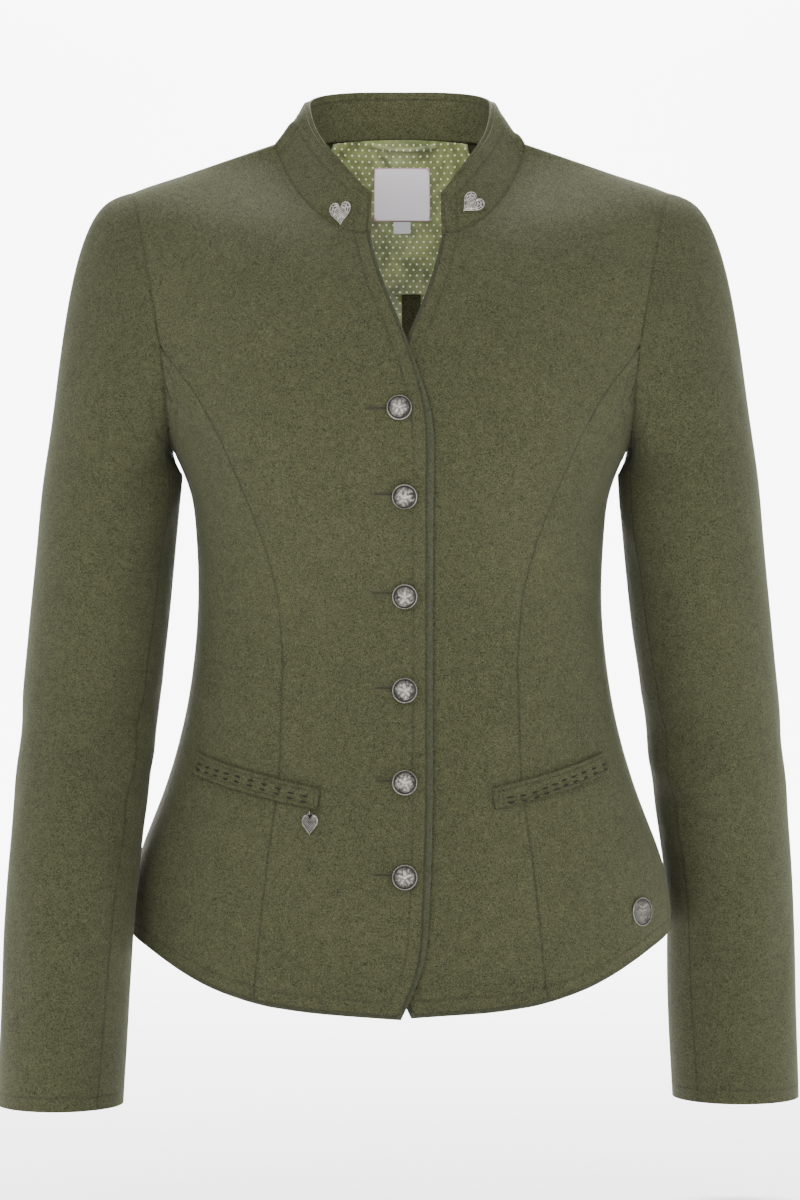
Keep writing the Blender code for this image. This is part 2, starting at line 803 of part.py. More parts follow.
def hem_stations(grids, columns, start=0.0):
    """The hem's stations on a panel, from its first column or from a distance beside it"""
    outer, inner = grids
    stations = []
    for column in columns:
        points = [outer[-1][column], outer[-2][column], inner[-1][column]]
        if column == 0 and start:
            share = start / (outer[-1][1] - outer[-1][0]).length
            beside = (outer[-1][1], outer[-2][1], inner[-1][1])
            points = [point.lerp(other, share) for point, other in zip(points, beside)]
        stations.append((*points, HEM_STEP, HEM_FACING_TALL))
    return stations


def build_hem_facings(parent, collection, finish):
    sides = range(1, SIDE_COLUMNS + 1)
    for side, word in ((-1, "right"), (1, "left")):
        clear = FACING_WIDTH + 2 * SEAM_GAP
        stations = hem_stations(front_grids(side), range(FRONT_COLUMNS + 1), clear)
        stations += hem_stations(side_grids(side, False), sides)
        build_wall(f"{word}_hem_facing", *strip_grids(stations), parent, collection, finish)
    stations = []
    for side in (-1, 1):
        half = hem_stations(side_grids(side, True), reversed(sides))
        half += hem_stations(back_grids(side), range(BACK_COLUMNS, 0, -1))
        if side < 0:
            stations = half + hem_stations(back_grids(side), [0])
        else:
            stations += half[::-1]
    build_wall("back_hem_facing", *strip_grids(stations), parent, collection, finish)


def build_welts(parent, collection, finish):
    for side, word in ((-1, "right"), (1, "left")):
        outer_angle = angle_at(side * WELT_OUTER[0], WELT_OUTER[1])
        inner_angle = angle_at(side * WELT_INNER[0] + CENTRE_FRONT, WELT_INNER[1])
        spots = []
        for rise in (WELT_TALL / 2, 0.0, -WELT_TALL / 2):
            row = []
            for column in range(WELT_COLUMNS + 1):
                share = column / WELT_COLUMNS
                angle = outer_angle + (inner_angle - outer_angle) * share
                height = WELT_OUTER[1] + (WELT_INNER[1] - WELT_OUTER[1]) * share + rise
                row.append((angle, height))
            spots.append(row)
        grids = surface_grids(spots, -ON_CLOTH - WELT_WALL, WELT_WALL)
        build_wall(f"{word}_pocket_welt", *grids, parent, collection, finish)


def back_patch(name, box, depth, wall, cells, parent, collection, finish, narrow=1.0):
    """A thin wall inside the back between two distances from the middle and two heights"""
    left, right, top, bottom = box
    columns, rows = cells
    spots = []
    for row in range(rows + 1):
        height = top + (bottom - top) * row / rows
        line = []
        for column in range(columns + 1):
            x = left + (right - left) * column / columns
            x *= narrow + (1 - narrow) * row / rows
            angle = angle_at(x, height, True)
            line.append((angle if angle > 0 else angle + 2 * math.pi, height))
        spots.append(line)
    return build_wall(name, *surface_grids(spots, depth, wall), parent, collection, finish)


def build_lining(parent, collection, lining, label):
    depth = WALL + LINING_CLEAR
    yoke = (-LINING_HALF, LINING_HALF, LINING_TOP, YOKE_BOTTOM)
    rest = (parent, collection, lining)
    back_patch("lining_yoke", yoke, depth, LINING_WALL, (10, 5), *rest, YOKE_NARROW)
    right = (-LINING_HALF, STRIP_X - LINING_STRIP, YOKE_BOTTOM, LINING_BOTTOM)
    left = (STRIP_X + LINING_STRIP, LINING_HALF, YOKE_BOTTOM, LINING_BOTTOM)
    back_patch("right_lining", right, depth, LINING_WALL, (5, 5), *rest)
    back_patch("left_lining", left, depth, LINING_WALL, (5, 5), *rest)
    depth += LINING_WALL + LABEL_CLEAR
    half = LABEL_WIDE / 2
    neck = (LABEL_X - half, LABEL_X + half, LABEL_TOP, LABEL_BOTTOM)
    rest = (parent, collection, label)
    back_patch("neck_label", neck, depth, LABEL_WALL, (4, 4), *rest)
    half = TAB_WIDE / 2
    tab = (LABEL_X - half, LABEL_X + half, LABEL_BOTTOM - SEAM_GAP, TAB_BOTTOM)
    back_patch("size_tab", tab, depth, LABEL_WALL, (2, 1), *rest)


def wire(name, points, radius, parent, collection, finish, cyclic=False):
    """A round cord or wire through a list of points"""
    curve = bpy.data.curves.new(name, "CURVE")
    curve.dimensions = "3D"
    curve.bevel_depth = radius
    curve.bevel_resolution = 1
    curve.use_fill_caps = not cyclic
    spline = curve.splines.new("POLY")
    spline.points.add(len(points) - 1)
    for spot, point in zip(spline.points, points):
        spot.co = (*point, 1.0)
    spline.use_cyclic_u = cyclic
    made = bpy.data.objects.new(name, curve)
    curve.materials.append(finish)
    made.parent = parent
    collection.objects.link(made)
    return made


def build_loop(parent, collection, finish):
    """The hanger loop inside the back neck, sagging between its two ends"""
    depth = WALL + LINING_CLEAR + LINING_WALL + LOOP_CLEAR + LOOP_RADIUS
    points = []
    for step in range(LOOP_STEPS + 1):
        share = 2 * step / LOOP_STEPS - 1
        height = LINING_TOP - LOOP_RADIUS - LOOP_SAG * (1 - share**2)
        angle = angle_at(LOOP_X + LOOP_HALF * share, height, True)
        points.append(cloth(angle, height, depth))
    wire("hanger_loop", points, LOOP_RADIUS, parent, collection, finish)


def turned_piece(name, profile, steps, place, parent, collection, finish):
    """A turned piece from its profile of radii and heights, top to bottom, at a place on the cloth"""
    mesh = bpy.data.meshes.new(name)
    points = [(radius, 0.0, height) for radius, height in profile]
    mesh.from_pydata(points, [(i, i + 1) for i in range(len(points) - 1)], [])
    made = new_object(name, mesh, parent, collection, finish)
    made.matrix_local = place
    screw = made.modifiers.new("Turn", "SCREW")
    screw.steps = steps
    screw.render_steps = steps
    screw.use_merge_vertices = True
    screw.merge_threshold = 0.00002
    return made


def place_on(point, normal, up=Vector((0, 0, 1))):
    """The place of a small piece: its Z out of the cloth and its Y up along it"""
    out = normal.normalized()
    across = up.cross(out).normalized()
    along_cloth = out.cross(across)
    turn = Matrix((across, along_cloth, out)).transposed().to_4x4()
    return Matrix.Translation(point) @ turn


def build_buttons(parent, collection, finish):
    back = BUTTON_STAND
    rim = back + SHANK_TALL
    edge = rim + BUTTON_EDGE
    top = back + BUTTON_TALL + SHANK_TALL
    profile = (
        (0.0, top),
        (BUTTON_RADIUS * 0.45, top - 0.0004),
        (BUTTON_RADIUS * 0.80, top - 0.0016),
        (BUTTON_RADIUS, edge),
        (BUTTON_RADIUS, rim),
        (SHANK_RADIUS, rim),
        (SHANK_RADIUS, back),
        (0.0, back),
    )
    for index, (x, height) in enumerate(zip(BUTTON_XS, BUTTON_HEIGHTS)):
        angle = angle_at(x, height)
        place = place_on(body_point(angle, height), body_normal(angle, height))
        turned_piece(f"button_{index + 1}", profile, BUTTON_STEPS, place, parent, collection, finish)


def heart_outline(wide, tall, steps):
    """The outline of a heart, its lobes up, centred on its box"""
    raw = []
    for step in range(steps):
        turn = 2 * math.pi * step / steps
        x = math.sin(turn) ** 3
        y = 0.8125 * math.cos(turn) - 0.3125 * math.cos(2 * turn) - 0.125 * math.cos(3 * turn)
        raw.append((x, y - 0.0625 * math.cos(4 * turn)))
    low = min(y for _, y in raw)
    high = max(y for _, y in raw)
    return [(x * wide / 2, ((y - low) / (high - low) - 0.5) * tall) for x, y in raw]


def heart_mesh(name, wide, tall, thick):
    """A heart with a rounded front, from its outline and two smaller ones in front"""
    outline = heart_outline(wide, tall, HEART_STEPS)
    levels = ((1.0, 0.0), (1.0, 0.5), (0.78, 0.9), (0.40, 1.0))
    bones = bpy.data.meshes.new(name)
    points = []
    for share, rise in levels:
        points += [(x * share, y * share, thick * rise) for x, y in outline]
    count = len(outline)
    faces = [list(range(count)), [count * 3 + spot for spot in reversed(range(count))]]
    for level in range(len(levels) - 1):
        for spot in range(count):
            after = (spot + 1) % count
            low = level * count
            high = low + count
            faces.append([low + after, low + spot, high + spot, high + after])
    bones.from_pydata(points, [], faces)
    bones.shade_smooth()
    bones.set_sharp_from_angle(angle=math.radians(50))
    return bones


def build_studs(parent, collection, finish):
    """The two heart studs near the collar's front ends"""
    lower, upper = collar_lines()
    normals = collar_normals()
    last = len(lower) - 1
    right_column, right_share, right_turn = RIGHT_STUD
    left_column, left_share, left_turn = LEFT_STUD
    right = ("right", right_column, right_share, right_turn)
    left = ("left", last - left_column, left_share, left_turn)
    for word, column, share, turn in (right, left):
        point = between(lower, column).lerp(between(upper, column), share)
        normal = between(normals, column).normalized()
        mesh = heart_mesh(f"{word}_heart_stud", STUD_WIDE, STUD_TALL, STUD_THICK)
        made = new_object(mesh.name, mesh, parent, collection, finish)
        turned = Matrix.Rotation(math.radians(turn), 4, "Z")
        made.matrix_local = place_on(point + normal * STUD_STAND, normal) @ turned


def build_badge(parent, collection, finish):
    angle = angle_at(BADGE_X, BADGE_Z)
    profile = (
        (0.0, BADGE_STAND + BADGE_THICK * 0.8),
        (BADGE_RADIUS * 0.84, BADGE_STAND + BADGE_THICK * 0.8),
        (BADGE_RADIUS * 0.88, BADGE_STAND + BADGE_THICK),
        (BADGE_RADIUS, BADGE_STAND + BADGE_THICK * 0.7),
        (BADGE_RADIUS, BADGE_STAND),
        (0.0, BADGE_STAND),
    )
    place = place_on(body_point(angle, BADGE_Z), body_normal(angle, BADGE_Z))
    turned_piece("hip_badge", profile, BUTTON_STEPS, place, parent, collection, finish)


def build_charm(jacket, collection, finish):
    """The staple on the right front, and the charm on an empty whose Z is the staple's inner leg"""
    angle = angle_at(CHARM_X, CHARM_Z)
    frame = place_on(body_point(angle, CHARM_Z), body_normal(angle, CHARM_Z))
    staple = []
    for step in range(STAPLE_STEPS + 1):
        turn = math.pi * step / STAPLE_STEPS
        rise = STAPLE_RADIUS * (1 - math.cos(turn))
        out = CHARM_STAND + STAPLE_RADIUS * math.sin(turn)
        staple.append(Vector((0, rise, out)))
    foot = Vector((0, 0, STAPLE_FOOT))
    head = Vector((0, 2 * STAPLE_RADIUS, STAPLE_FOOT))
    points = [frame @ point for point in [foot] + staple + [head]]
    wire("charm_staple", points, WIRE_RADIUS, jacket, collection, finish)
    pivot = bpy.data.objects.new("charm_pivot", None)
    pivot.matrix_world = frame
    collection.objects.link(pivot)
    eye_y = -LEG_ABOVE_EYE
    bpy.ops.mesh.primitive_torus_add(
        major_radius=EYE_RADIUS,
        minor_radius=WIRE_RADIUS,
        major_segments=16,
        minor_segments=6,
        location=(0, eye_y, CHARM_STAND),
    )
    eye = bpy.context.object
    eye.data.transform(Matrix.Translation(eye.location))
    eye.location = (0, 0, 0)
    mesh = heart_mesh("heart_charm", CHARM_WIDE, CHARM_TALL, CHARM_THICK)
    drop = eye_y - EYE_RADIUS - CHARM_TALL / 2 + CHARM_NOTCH
    mesh.transform(Matrix.Translation((0, drop, CHARM_STAND - CHARM_THICK / 2)))
    heart = new_object("heart_charm", mesh, pivot, collection, finish)
    join = heart.modifiers.new("Eye", "BOOLEAN")
    join.operation = "UNION"
    join.object = eye
    eye.parent = pivot
    eye.name = "charm_eye_cutter"
    eye.hide_render = True
    eye.display_type = "WIRE"


def main():
    for old in list(bpy.data.objects):
        bpy.data.objects.remove(old, do_unlink=True)
    collection = bpy.data.collections.new("trachten_blazer")
    cutters = bpy.data.collections.new("cutters")
    bpy.context.scene.collection.children.link(collection)
    bpy.context.scene.collection.children.link(cutters)
    jacket = bpy.data.objects.new("jacket", None)
    collection.objects.link(jacket)
    loden = material("loden", OLIVE, 0.95)
    sleeve_loden = material("sleeve_loden", OLIVE_DARK, 0.95)
    facing = material("raw_facing", FACING_GREY, 0.97)
    lining = material("satin_lining", LINING_GREEN, 0.45)
    label = material("label_tape", LABEL_WHITE, 0.60)
    silver = material("antique_silver", SILVER, 0.38, 1.0)
    build_panels(jacket, collection, loden)
    build_sleeves(jacket, collection, sleeve_loden)
    build_collar(jacket, collection, loden, facing)
    build_front_facings(jacket, collection, facing)
    build_hem_facings(jacket, collection, facing)
    build_welts(jacket, collection, loden)
    build_lining(jacket, collection, lining, label)
    build_loop(jacket, collection, lining)
    build_buttons(jacket, collection, silver)
    build_studs(jacket, collection, silver)
    build_badge(jacket, collection, silver)
    build_charm(jacket, collection, silver)
    for made in list(bpy.context.scene.collection.objects):
        bpy.context.scene.collection.objects.unlink(made)
        cutters.objects.link(made)


main()
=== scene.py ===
"""Dresses the trachten blazer: milled olive wool with raw edges, satin lining and antique silver trims."""

import math

import bmesh
import bpy
import numpy as np
from mathutils import Matrix, Vector, noise
from mathutils.bvhtree import BVHTree
from mathutils.kdtree import KDTree


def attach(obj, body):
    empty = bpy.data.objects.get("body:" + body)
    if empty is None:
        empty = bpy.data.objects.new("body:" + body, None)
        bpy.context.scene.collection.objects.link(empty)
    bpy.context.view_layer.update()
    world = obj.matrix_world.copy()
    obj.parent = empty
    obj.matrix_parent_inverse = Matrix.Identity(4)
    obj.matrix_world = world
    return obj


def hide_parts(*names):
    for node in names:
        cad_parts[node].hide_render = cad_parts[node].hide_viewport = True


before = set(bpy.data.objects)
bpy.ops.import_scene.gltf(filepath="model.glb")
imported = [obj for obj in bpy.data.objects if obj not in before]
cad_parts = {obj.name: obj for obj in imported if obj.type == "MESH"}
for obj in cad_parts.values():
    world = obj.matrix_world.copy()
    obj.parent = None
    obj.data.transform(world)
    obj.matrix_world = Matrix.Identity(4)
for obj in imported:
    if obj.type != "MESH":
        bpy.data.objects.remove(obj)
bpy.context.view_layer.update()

# Camera, level with the middle of the photograph, which covers 804 mm at the plane of the shoulders
CAMERA_AT = (0.0, -2.4, -0.3055)
VIEW_TALL = 0.804
SENSOR = 36.0

# Stage
FLOOR_HEIGHT = -0.715
FLOOR_WIDE = 14.0
FLOOR_BEND = 1.5
WALL_AT = 5.0
WALL_TALL = 6.0

# Topstitching: how far inside the raw edges it runs, and its stitches
EDGE_STITCH_IN = 0.0080
CUFF_STITCH_IN = 0.0092
COLLAR_STITCH_IN = 0.0056
WELT_LINE_IN = 0.0026
STITCH_EVERY = 0.0034
STITCH_LONG = 0.0023
STITCH_THICK = 0.00032

# Seams: rims closer than the first are drawn together, closer than the others they count as sewn
SEAM_CLOSE = 0.0018
SEAM_NEAR = 0.0025
COLLAR_SEAM_NEAR = 0.0045
RIM_STEP = 0.0005

# Grooves that the materials sink along seams and stitches, where the wool's colour also darkens as painted
# shade, and the darker strip along raw edges
GROOVE_HALF = 0.0019
DARKER_RIM = 0.0010

# Lining dots in staggered rows, and the label's ribs, warps and border
DOT_ACROSS = 0.0047
DOT_ROWS = 0.0076
DOT_RADIUS = 0.00075
TAPE_RIB = 0.00042
TAPE_WARP = 0.00035
BORDER_FULL = 0.0004
BORDER_END = 0.0008

# Features in a metre of each grain
FIBRE = 1500
CURL = 680
STRAY = 900
WOOL_TUFT = 150
WOOL_CLOUD = 17
EDGE_TUFT = 480
SATIN_WEAVE = 2600
SATIN_CLOUD = 95
TAPE_SOIL = 60
SILVER_GRAIN = 900
SILVER_PATCH = 330
THREAD_FUZZ = 3200

# Depth of each material's relief
WOOL_RELIEF = 0.0009
EDGE_RELIEF = 0.0008
SATIN_RELIEF = 0.00025
TAPE_RELIEF = 0.0002
SILVER_RELIEF = 0.00012
THREAD_RELIEF = 0.0001

# Colours in linear light
OLIVE_DARK = (0.0115, 0.0122, 0.0050, 1.0)
OLIVE_LIGHT = (0.0735, 0.0755, 0.0382, 1.0)
OLIVE_YELLOW = (0.0868, 0.0842, 0.0364, 1.0)
EDGE_DARK = (0.0200, 0.0210, 0.0125, 1.0)
EDGE_LIGHT = (0.0760, 0.0780, 0.0480, 1.0)
LINING_GREEN = (0.270, 0.315, 0.110, 1.0)
LINING_DEEP = (0.090, 0.110, 0.030, 1.0)
LINING_DOT = (0.950, 0.950, 0.700, 1.0)
LABEL_WHITE = (0.960, 0.900, 0.950, 1.0)
LABEL_BORDER = (0.560, 0.190, 0.300, 1.0)
TAB_WHITE = (0.720, 0.720, 0.740, 1.0)
THREAD_DARK_AND_SLIT_SHADE = (0.010, 0.010, 0.006, 1.0)
THREAD_OLIVE = (0.042, 0.041, 0.022, 1.0)
SILVER_BRIGHT = (0.575, 0.548, 0.495, 1.0)
SILVER_DARK = (0.035, 0.032, 0.029, 1.0)
STAGE_WHITE = (0.970, 0.970, 0.970, 1.0)
WOOL_SHEEN = (0.62, 0.63, 0.48, 1.0)
EDGE_SHEEN = (0.62, 0.62, 0.55, 1.0)
WORLD_WHITE = (1.0, 1.0, 1.0, 1.0)


class Socket:
    """An output of a material's nodes: sums and products of it add the Math nodes"""

    def __init__(self, finish, link):
        self.finish = finish
        self.link = link

    def maths(self, operation, first, second=0.0):
        return self.finish.node("ShaderNodeMath", {"operation": operation}, {0: first, 1: second})

    def __add__(self, other):
        return self.maths("ADD", self, other)

    def __radd__(self, other):
        return self.maths("ADD", other, self)

    def __sub__(self, other):
        return self.maths("SUBTRACT", self, other)

    def __rsub__(self, other):
        return self.maths("SUBTRACT", other, self)

    def __mul__(self, other):
        return self.maths("MULTIPLY", self, other)

    def __truediv__(self, other):
        return self.maths("DIVIDE", self, other)

    def __pow__(self, other):
        return self.maths("POWER", self, other)

    def __abs__(self):
        return self.maths("ABSOLUTE", self)

    def fraction(self):
        return self.maths("FRACT", self)

    def least(self, other):
        return self.maths("MINIMUM", self, other)

    def most(self, other):
        return self.maths("MAXIMUM", self, other)

    def between(self, low, high):
        """0 at low and under, 1 at high and over"""
        return ((self - low) / (high - low)).most(0.0).least(1.0)

    def ridge(self, centre, half):
        """1 at the centre value, fading softly to 0 at half a width away"""
        slope = 1.0 - (abs(self - centre) / half).least(1.0)
        return slope * slope


class Finish:
    """A material, whose nodes are added to its Principled shader"""

    def __init__(self, name, roughness, constants=None):
        self.material = bpy.data.materials.new(name)
        self.material.use_nodes = True
        self.nodes = self.material.node_tree.nodes
        self.links = self.material.node_tree.links
        self.shader = self.nodes["Principled BSDF"]
        self.shader.inputs["Roughness"].default_value = roughness
        for socket, value in (constants or {}).items():
            self.shader.inputs[socket].default_value = value

    def feed(self, socket, value):
        if isinstance(value, Socket):
            self.links.new(value.link, socket)
        else:
            socket.default_value = value

    def node(self, kind, settings=None, inputs=None, output=0):
        """Adds a node, sets it up, fills its sockets and gives back one of its outputs"""
        made = self.nodes.new(kind)
        for name, value in (settings or {}).items():
            setattr(made, name, value)
        for name, value in (inputs or {}).items():
            self.feed(made.inputs[name], value)
        return Socket(self, made.outputs[output])

    def place(self):
        """The point of the surface, in metres"""
        return self.node("ShaderNodeTexCoord", output="Object")

    def axes(self):
        """The point's three coordinates as numbers"""
        split = self.node("ShaderNodeSeparateXYZ", inputs={0: self.place()}).link.node
        return [Socket(self, output) for output in split.outputs]

    def noise(self, scale, detail=2.0, distortion=0.0, roughness=0.5, stretch=None):
        """Blender's noise from 0 to 1, with so many features in a metre"""
        where = self.place()
        if stretch:
            where = self.node("ShaderNodeMapping", inputs={"Vector": where, "Scale": stretch})
        inputs = {"Vector": where, "Scale": scale, "Detail": detail, "Distortion": distortion}
        inputs["Roughness"] = roughness
        return self.node("ShaderNodeTexNoise", inputs=inputs)

    def carried(self, name):
        """A number that the piece's own mesh carries"""
        return self.node("ShaderNodeAttribute", {"attribute_name": name}, output="Fac")

    def dots(self, across, up, shift):
        """1 on a grid of round dots, which a shift of half a step turns into the rows between"""
        u = ((across / DOT_ACROSS + shift).fraction() - 0.5) * DOT_ACROSS
        v = ((up / DOT_ROWS + shift).fraction() - 0.5) * DOT_ROWS
        return 1.0 - ((u * u + v * v) ** 0.5).between(DOT_RADIUS * 0.7, DOT_RADIUS)

    def mix(self, factor, first, second):
        return self.node("ShaderNodeMix", {"data_type": "RGBA"}, {0: factor, 6: first, 7: second}, output=2)

    def darken(self, colour, factor):
        """A colour times a number"""
        first = colour if isinstance(colour, Socket) else colour[:3]
        return self.node("ShaderNodeVectorMath", {"operation": "SCALE"}, {0: first, "Scale": factor})

    def paint(self, colour, roughness=None):
        self.feed(self.shader.inputs["Base Color"], colour)
        if roughness is not None:
            self.feed(self.shader.inputs["Roughness"], roughness)
        return self

    def relief(self, height, strength, distance):
        """Bumps of a height map; distance is how deep it is, in metres"""
        inputs = {"Height": height, "Strength": strength, "Distance": distance}
        self.feed(self.shader.inputs["Normal"], self.node("ShaderNodeBump", inputs=inputs))
        return self


# The second argument scales the colour: painted light over 1, painted shade under 1
def milled_wool(name, painted_lighting=1.0, stitch_in=EDGE_STITCH_IN):
    """Felted melange wool: curled fibres of mixed greens, sunk along seams and under the topstitching, with
    painted shade darkening those grooves
    """
    wool = Finish(name, 0.92, {"Sheen Weight": 0.07, "Sheen Roughness": 0.6, "Specular IOR Level": 0.12})
    wool.shader.inputs["Sheen Tint"].default_value = WOOL_SHEEN
    fine = wool.noise(FIBRE, 2.0, 1.4, 0.6)
    curled = wool.noise(CURL, 2.5, 2.2, 0.6)
    tufts = wool.noise(WOOL_TUFT, 2.0, 0.8)
    cloudy = wool.noise(WOOL_CLOUD, 2.0)
    fibres = fine * 0.50 + curled * 0.40 + tufts * 0.06 + cloudy * 0.04
    tone = fibres.between(0.41, 0.60)
    seam = wool.carried("seam").ridge(0.0, GROOVE_HALF)
    stitch = wool.carried("edge").ridge(stitch_in, GROOVE_HALF)
    # A strip within a millimetre of the raw edges is darker
    rim = 1.0 - wool.carried("edge").between(0.0, DARKER_RIM)
    stray = wool.noise(STRAY, 1.0, 3.0).between(0.63, 0.72)
    colour = wool.mix(tone, OLIVE_DARK, OLIVE_LIGHT)
    colour = wool.mix(stray * 0.35, colour, OLIVE_YELLOW)
    # Painted shade in the seam and topstitch grooves, a darker strip along the raw edges, and each copy's
    # painted light or shade
    dark = (1.0 - seam * 0.42) * (1.0 - stitch * 0.20) * (1.0 - rim * 0.18) * painted_lighting
    colour = wool.darken(colour, dark)
    rough = 0.88 + tone * 0.08
    height = fibres * 0.30 + tufts * 0.12 - seam * 0.85 - stitch * 0.55
    return wool.paint(colour, rough).relief(height, 0.85, WOOL_RELIEF)


def raw_edge(name):
    """The cut edge of the facing, greyer and rougher than the face of the cloth"""
    raw = Finish(name, 0.95, {"Sheen Weight": 0.06, "Sheen Roughness": 0.6, "Specular IOR Level": 0.1})
    raw.shader.inputs["Sheen Tint"].default_value = EDGE_SHEEN
    fine = raw.noise(FIBRE, 2.0, 1.8, 0.65)
    tufts = raw.noise(EDGE_TUFT, 2.0, 2.0)
    fibres = fine * 0.6 + tufts * 0.4
    tone = fibres.between(0.34, 0.66)
    colour = raw.mix(tone, EDGE_DARK, EDGE_LIGHT)
    return raw.paint(colour, 0.9 + tone * 0.08).relief(fibres, 0.9, EDGE_RELIEF)


def dotted_satin(name):
    """Olive satin with a grid of small light dots in staggered rows"""
    satin = Finish(name, 0.42, {"Sheen Weight": 0.15, "Specular IOR Level": 0.6, "Coat Weight": 0.12})
    across, _, up = satin.axes()
    dot = satin.dots(across, up, 0.0).most(satin.dots(across, up, 0.5))
    weave = satin.noise(SATIN_WEAVE, 1.0, stretch=(1.0, 1.0, 0.25))
    cloud = satin.noise(SATIN_CLOUD, 2.0, 0.6)
    colour = satin.mix((weave * 0.3 + cloud * 0.9).between(0.42, 0.76), LINING_DEEP, LINING_GREEN)
    colour = satin.mix(dot * 0.9, colour, LINING_DOT)
    rough = 0.36 + weave * 0.16 + dot * 0.10
    return satin.paint(colour, rough).relief(weave * 0.4 + dot * 0.6, 0.5, SATIN_RELIEF)


def woven_tape(name, ground, border=None):
    """Damask-woven label tape; the border runs along the piece's edges"""
    tape = Finish(name, 0.62, {"Sheen Weight": 0.2, "Specular IOR Level": 0.35})
    across, _, up = tape.axes()
    ribs = (up / TAPE_RIB).fraction().ridge(0.5, 0.5)
    warps = (across / TAPE_WARP).fraction().ridge(0.5, 0.5)
    weave = ribs * 0.6 + warps * 0.4
    soil = tape.noise(TAPE_SOIL, 2.0)
    colour = tape.darken(ground, 0.92 + weave * 0.07 + soil * 0.05)
    if border:
        line = 1.0 - tape.carried("edge").between(BORDER_FULL, BORDER_END)
        colour = tape.mix(line * 0.75, colour, border)
    return tape.paint(colour, 0.55 + weave * 0.15).relief(weave, 0.6, TAPE_RELIEF)


def antique_silver(name, bright, hollow_depth):
    """Cast silver, polished where it stands proud and black in the hollows"""
    silver = Finish(name, 0.35, {"Metallic": 1.0, "Specular IOR Level": 0.5})
    hollow = silver.carried("hollow")
    grain = silver.noise(SILVER_GRAIN, 3.0, 0.4)
    patches = silver.noise(SILVER_PATCH, 2.0, 0.8)
    dirt = (hollow * hollow_depth + (patches - 0.5) * 1.5 + (grain - 0.5) * 0.18).most(0.0).least(1.0)
    colour = silver.mix(dirt, tuple(part * bright for part in SILVER_BRIGHT[:3]) + (1.0,), SILVER_DARK)
    rough = 0.20 + dirt * 0.30 + grain * 0.08
    return silver.paint(colour, rough).relief(grain * 0.5 + patches * 0.5, 0.35, SILVER_RELIEF)


def sewing_thread(name, colour):
    """Matt spun thread with a fine fuzz"""
    thread = Finish(name, 0.7, {"Sheen Weight": 0.04, "Specular IOR Level": 0.15})
    fuzz = thread.noise(THREAD_FUZZ, 1.0, 1.0)
    tone = thread.darken(colour, 0.75 + fuzz * 0.5)
    return thread.paint(tone, 0.65 + fuzz * 0.15).relief(fuzz, 0.5, THREAD_RELIEF)


def plain(name, colour, roughness):
    """A matt studio surface with hardly any grain"""
    stage = Finish(name, roughness)
    return stage.paint(stage.darken(colour, 0.99 + stage.noise(3.0) * 0.02))


def select_only(piece):
    bpy.ops.object.select_all(action="DESELECT")
    piece.select_set(True)
    bpy.context.view_layer.objects.active = piece


def link(name, mesh):
    """A new object of the jacket at the origin"""
    piece = bpy.data.objects.new(name, mesh)
    bpy.context.scene.collection.objects.link(piece)
    return piece


def apply(piece, kind, **settings):
    """Adds one modifier, sets it and applies it"""
    select_only(piece)
    modifier = piece.modifiers.new(kind.title(), kind)
    for name, value in settings.items():
        setattr(modifier, name, value)
    bpy.ops.object.modifier_apply(modifier=modifier.name)


def soften(piece, degrees=40):
    """Smooth shading, except over edges sharper than this"""
    select_only(piece)
    bpy.ops.object.shade_smooth_by_angle(angle=math.radians(degrees))


def wear(piece, finish, nodes=(), body="jacket"):
    """Gives a finished piece its material and its body, and hides the CAD nodes that it stands for"""
    piece.data.materials.clear()
    piece.data.materials.append(finish.material)
    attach(piece, body)
    if nodes:
        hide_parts(*nodes)
    return piece


def vertex_points(mesh):
    flat = np.empty(len(mesh.vertices) * 3)
    mesh.vertices.foreach_get("co", flat)
    return flat.reshape(-1, 3)


def move_vertices(mesh, points):
    mesh.vertices.foreach_set("co", points.ravel())
    mesh.update()


def carry(mesh, name, values):
    """Stores a number on each vertex, for the material to read"""
    attribute = mesh.attributes.get(name) or mesh.attributes.new(name, "FLOAT", "POINT")
    attribute.data.foreach_set("value", np.asarray(values, dtype=np.float32))


# Middle lines of the sleeves: height, x, y
RIGHT_ARM = (
    (-0.225, -0.1920, 0.000),
    (-0.386, -0.2066, -0.018),
    (-0.507, -0.2152, -0.059),
    (-0.650, -0.2220, -0.067),
)
LEFT_ARM = (
    (-0.225, 0.1930, 0.002),
    (-0.386, 0.2110, 0.020),
    (-0.507, 0.2249, 0.045),
    (-0.660, 0.2290, 0.048),
)
ARM_TOP = -0.150
ARM_TOP_X = 0.172

# Half width and half depth of the body, the height over which the shoulders round off and where it starts
BODY_ACROSS = 0.17
BODY_DEEP = 0.11
SHOULDER_ROUND = 0.06
SHOULDER_LOW = -0.14
COLLAR_MIDDLE_Y = 0.010


def arm_middle(points, arm):
    """The sleeve's middle line at each point's height, turning in to the armhole at the top"""
    heights, across, deep = (np.array(column)[::-1] for column in zip(*arm))
    top = np.sign(across[-1]) * ARM_TOP_X
    heights = np.append(heights, ARM_TOP)
    across = np.append(across, top)
    deep = np.append(deep, 0.0)
    level = np.minimum(points[:, 2], ARM_TOP)
    return np.column_stack([np.interp(level, heights, across), np.interp(level, heights, deep), level])


def outward(points, region):
    """The way out of the cloth at each point of the body, the collar or a sleeve"""
    if region in ("right_arm", "left_arm"):
        away = points - arm_middle(points, RIGHT_ARM if region == "right_arm" else LEFT_ARM)
    elif region == "collar":
        away = points * (1.0, 1.0, 0.0) - (0.0, COLLAR_MIDDLE_Y, 0.0)
    else:
        shoulder = np.maximum(points[:, 2] - SHOULDER_LOW, 0.0)
        sides = (points[:, 0] / BODY_ACROSS**2, points[:, 1] / BODY_DEEP**2, shoulder / SHOULDER_ROUND**2)
        away = np.column_stack(sides)
    return away / np.linalg.norm(away, axis=1)[:, None]


